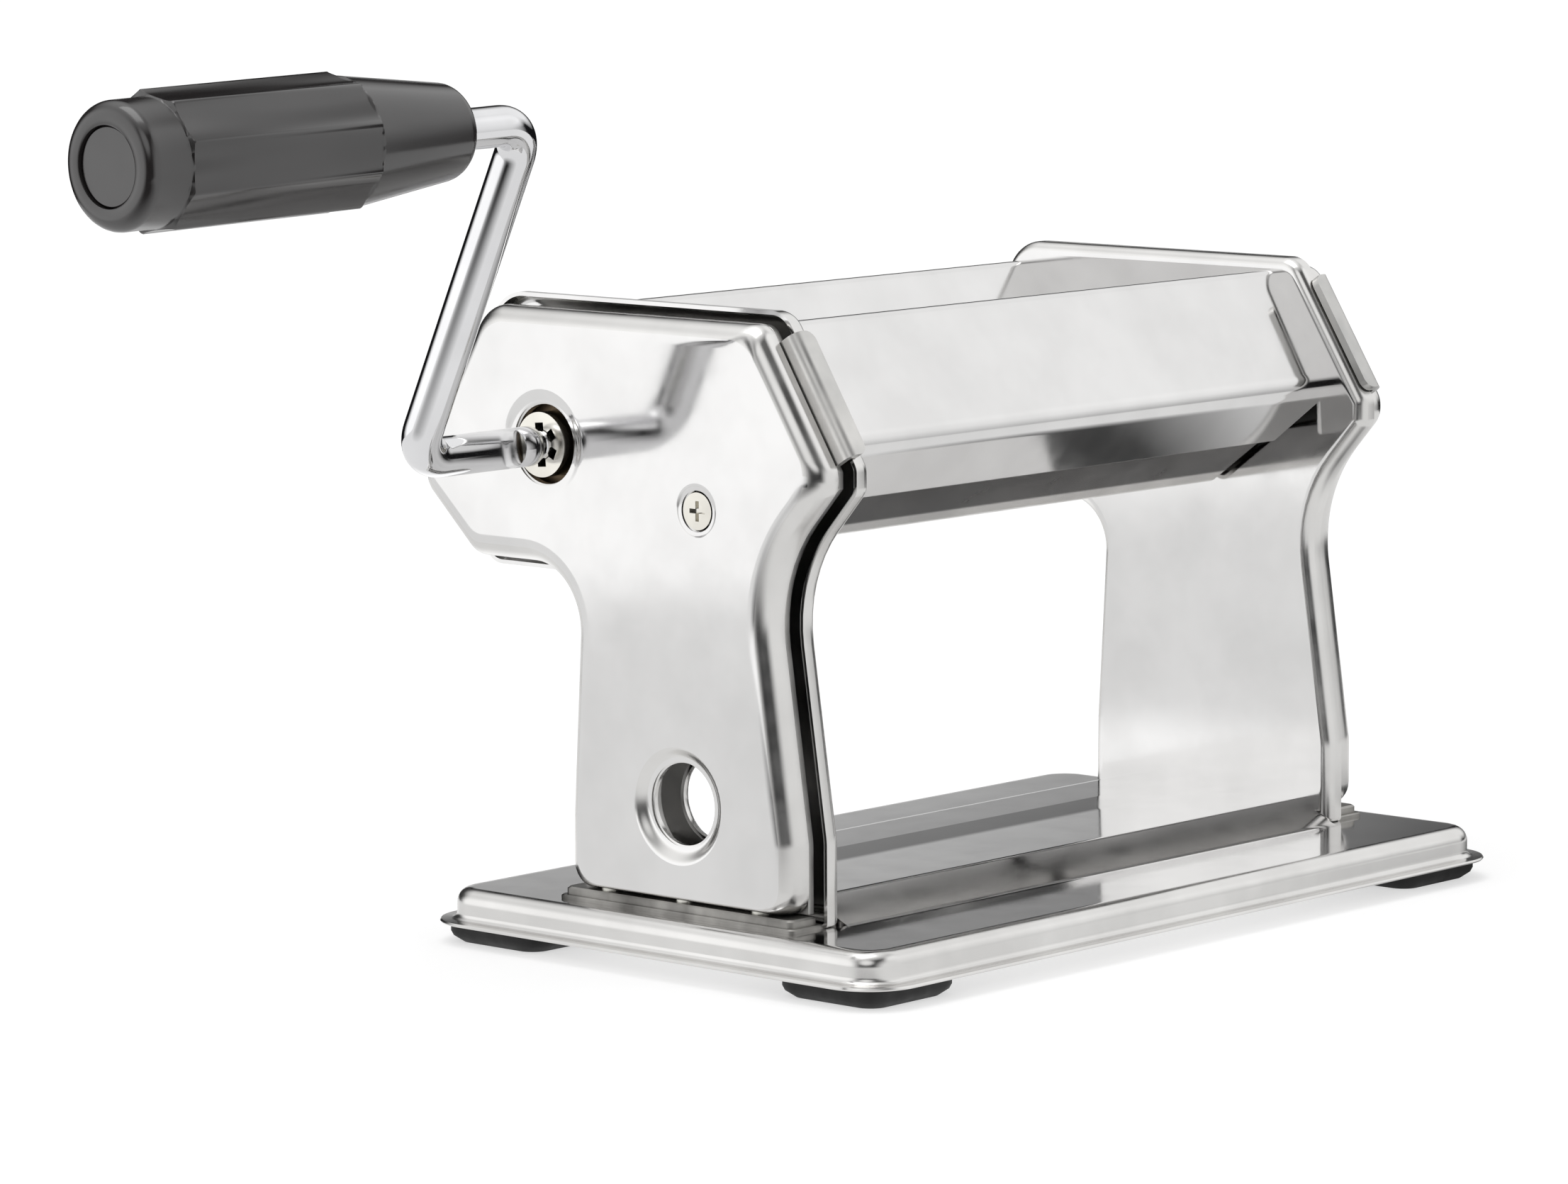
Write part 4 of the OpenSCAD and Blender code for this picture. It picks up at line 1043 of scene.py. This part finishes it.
def floor():
    """Pale paper, and a plain glow for what the metal mirrors of it."""
    material, tree, shader = new_material("floor_paper")
    tones = two_tones(tree, noise(tree, 3, 2), (0.5, 0.5, 0.5), (0.52, 0.52, 0.52))
    tree.links.new(tones, shader.inputs["Base Color"])
    shader.inputs["Roughness"].default_value = 0.9
    shader.inputs["Specular IOR Level"].default_value = 0.1
    shader.inputs["Emission Color"].default_value = (1, 1, 1, 1)
    shader.inputs["Emission Strength"].default_value = FLOOR_GLOW
    place = tree.nodes.new("ShaderNodeTexCoord")
    mirrored = tree.nodes.new("ShaderNodeEmission")
    last = None
    for centre, near, far, inside in FLOOR_SPOTS:
        gap = node(tree, "ShaderNodeVectorMath", operation="DISTANCE")
        gap.inputs[1].default_value = centre
        tree.links.new(place.outputs["Object"], gap.inputs[0])
        factor = spread(tree, gap.outputs["Value"], inside / FLOOR_LEVEL, 1, near, far)
        product = node(tree, "ShaderNodeMath", operation="MULTIPLY")
        product.inputs[0].default_value = FLOOR_LEVEL
        if last:
            tree.links.new(last, product.inputs[0])
        tree.links.new(factor, product.inputs[1])
        last = product.outputs["Value"]
    tree.links.new(last, mirrored.inputs["Strength"])
    path = tree.nodes.new("ShaderNodeLightPath")
    both = tree.nodes.new("ShaderNodeMixShader")
    tree.links.new(path.outputs["Is Glossy Ray"], both.inputs["Fac"])
    tree.links.new(shader.outputs["BSDF"], both.inputs[1])
    tree.links.new(mirrored.outputs["Emission"], both.inputs[2])
    tree.links.new(both.outputs["Shader"], tree.nodes["Material Output"].inputs["Surface"])
    mesh = bpy.data.meshes.new("floor")
    rim = [(x, y, 0) for x, y in ring_points((0, 0), FLOOR_R, 96)]
    mesh.from_pydata(rim, [], [tuple(range(len(rim)))])
    mesh.materials.append(material)
    obj = bpy.data.objects.new("floor", mesh)
    bpy.context.scene.collection.objects.link(obj)


def softbox(name, place, aim, size, glow):
    """A soft light whose own face shines as bright as glow."""
    data = bpy.data.lights.new(name, "AREA")
    data.shape = "RECTANGLE"
    data.size = size[0]
    data.size_y = size[1]
    data.energy = glow * math.pi * size[0] * size[1]
    obj = bpy.data.objects.new(name, data)
    away = (Vector(place) - Vector(aim)).normalized()
    obj.matrix_world = Matrix.Translation(place) @ away.to_track_quat("Z", "Y").to_matrix().to_4x4()
    obj.visible_camera = False
    bpy.context.scene.collection.objects.link(obj)


# Lit walls of the studio: direction, cosines between which the wall fades in, and brightness
LIT_WALLS = [
    ((-0.80, 0.60, 0.10), 0.66, 0.90, 1.3),
    ((0.58, -0.70, 0.50), 0.81, 0.93, 1.18),
    ((-0.10, 0.25, 1.0), 0.58, 0.92, 1.2),
    ((0.72, 0.69, 0.02), 0.978, 0.993, 0.68),
    ((0.26, -0.966, -0.04), 0.62, 0.90, 0.95),
    ((0.82, 0.02, 0.56), 0.84, 0.96, 1.05),
    ((-0.74, -0.44, 0.51), 0.92, 0.98, 1.1),
]


def with_wall(tree, here, shade, direction, wide, narrow, level):
    """The shade of the room with one more lit wall, which has soft edges."""
    near = node(tree, "ShaderNodeVectorMath", operation="DOT_PRODUCT")
    near.inputs[1].default_value = Vector(direction).normalized()
    tree.links.new(here, near.inputs[0])
    amount = spread(tree, near.outputs["Value"], 0, 1, wide, narrow)
    mix = node(tree, "ShaderNodeMix", data_type="RGBA")
    tree.links.new(amount, mix.inputs["Factor"])
    tree.links.new(shade, mix.inputs[6])
    mix.inputs[7].default_value = (level, level, level, 1)
    return mix.outputs[2]


def surroundings():
    """White backdrop; the room round the object is dim, with soft lit walls."""
    world = bpy.data.worlds.new("studio")
    bpy.context.scene.world = world
    world.use_nodes = True
    tree = world.node_tree
    background = tree.nodes["Background"]
    path = tree.nodes.new("ShaderNodeLightPath")
    place = tree.nodes.new("ShaderNodeTexCoord")
    split = tree.nodes.new("ShaderNodeSeparateXYZ")
    tree.links.new(place.outputs["Generated"], split.inputs["Vector"])
    shade = two_tones(tree, split.outputs["Z"], (0.008, 0.008, 0.009), (0.035, 0.034, 0.033), 0.1, 0.8)
    for wall in LIT_WALLS:
        shade = with_wall(tree, place.outputs["Generated"], shade, *wall)
    mix = node(tree, "ShaderNodeMix", data_type="RGBA")
    tree.links.new(path.outputs["Is Camera Ray"], mix.inputs["Factor"])
    tree.links.new(shade, mix.inputs[6])
    mix.inputs[7].default_value = (1.05, 1.05, 1.05, 1)
    tree.links.new(mix.outputs[2], background.inputs["Color"])


def lights():
    softbox("overhead", (-0.3, 0.1, 1.3), (0.0, 0.0, 0.0), (0.8, 0.8), 1.6)


# ---- Everything ----

dress_cad_nodes()
outer_cover(LEFT, "cover_left", "outer_cover_left")
outer_cover(RIGHT, "cover_right", "outer_cover_right")
inner_panel(LEFT, "panel_left", "inner_panel_left")
inner_panel(RIGHT, "panel_right", "inner_panel_right")
side_frame(LEFT, "frame_left", "side_frame_left")
side_frame(RIGHT, "frame_right", "side_frame_right")
base("base", "base_plate")
feet("feet", "rubber_feet")
front_guard("guard_front", "front_guard")
rear_guard("guard_rear", "rear_guard")
crank_rod("rod", "crank_rod")
handle("grip", "handle_grip")
handle_plug("grip_plug", "handle_end_plug")
camera()
floor()
surroundings()
lights()
bpy.context.scene.view_settings.view_transform = "Standard"
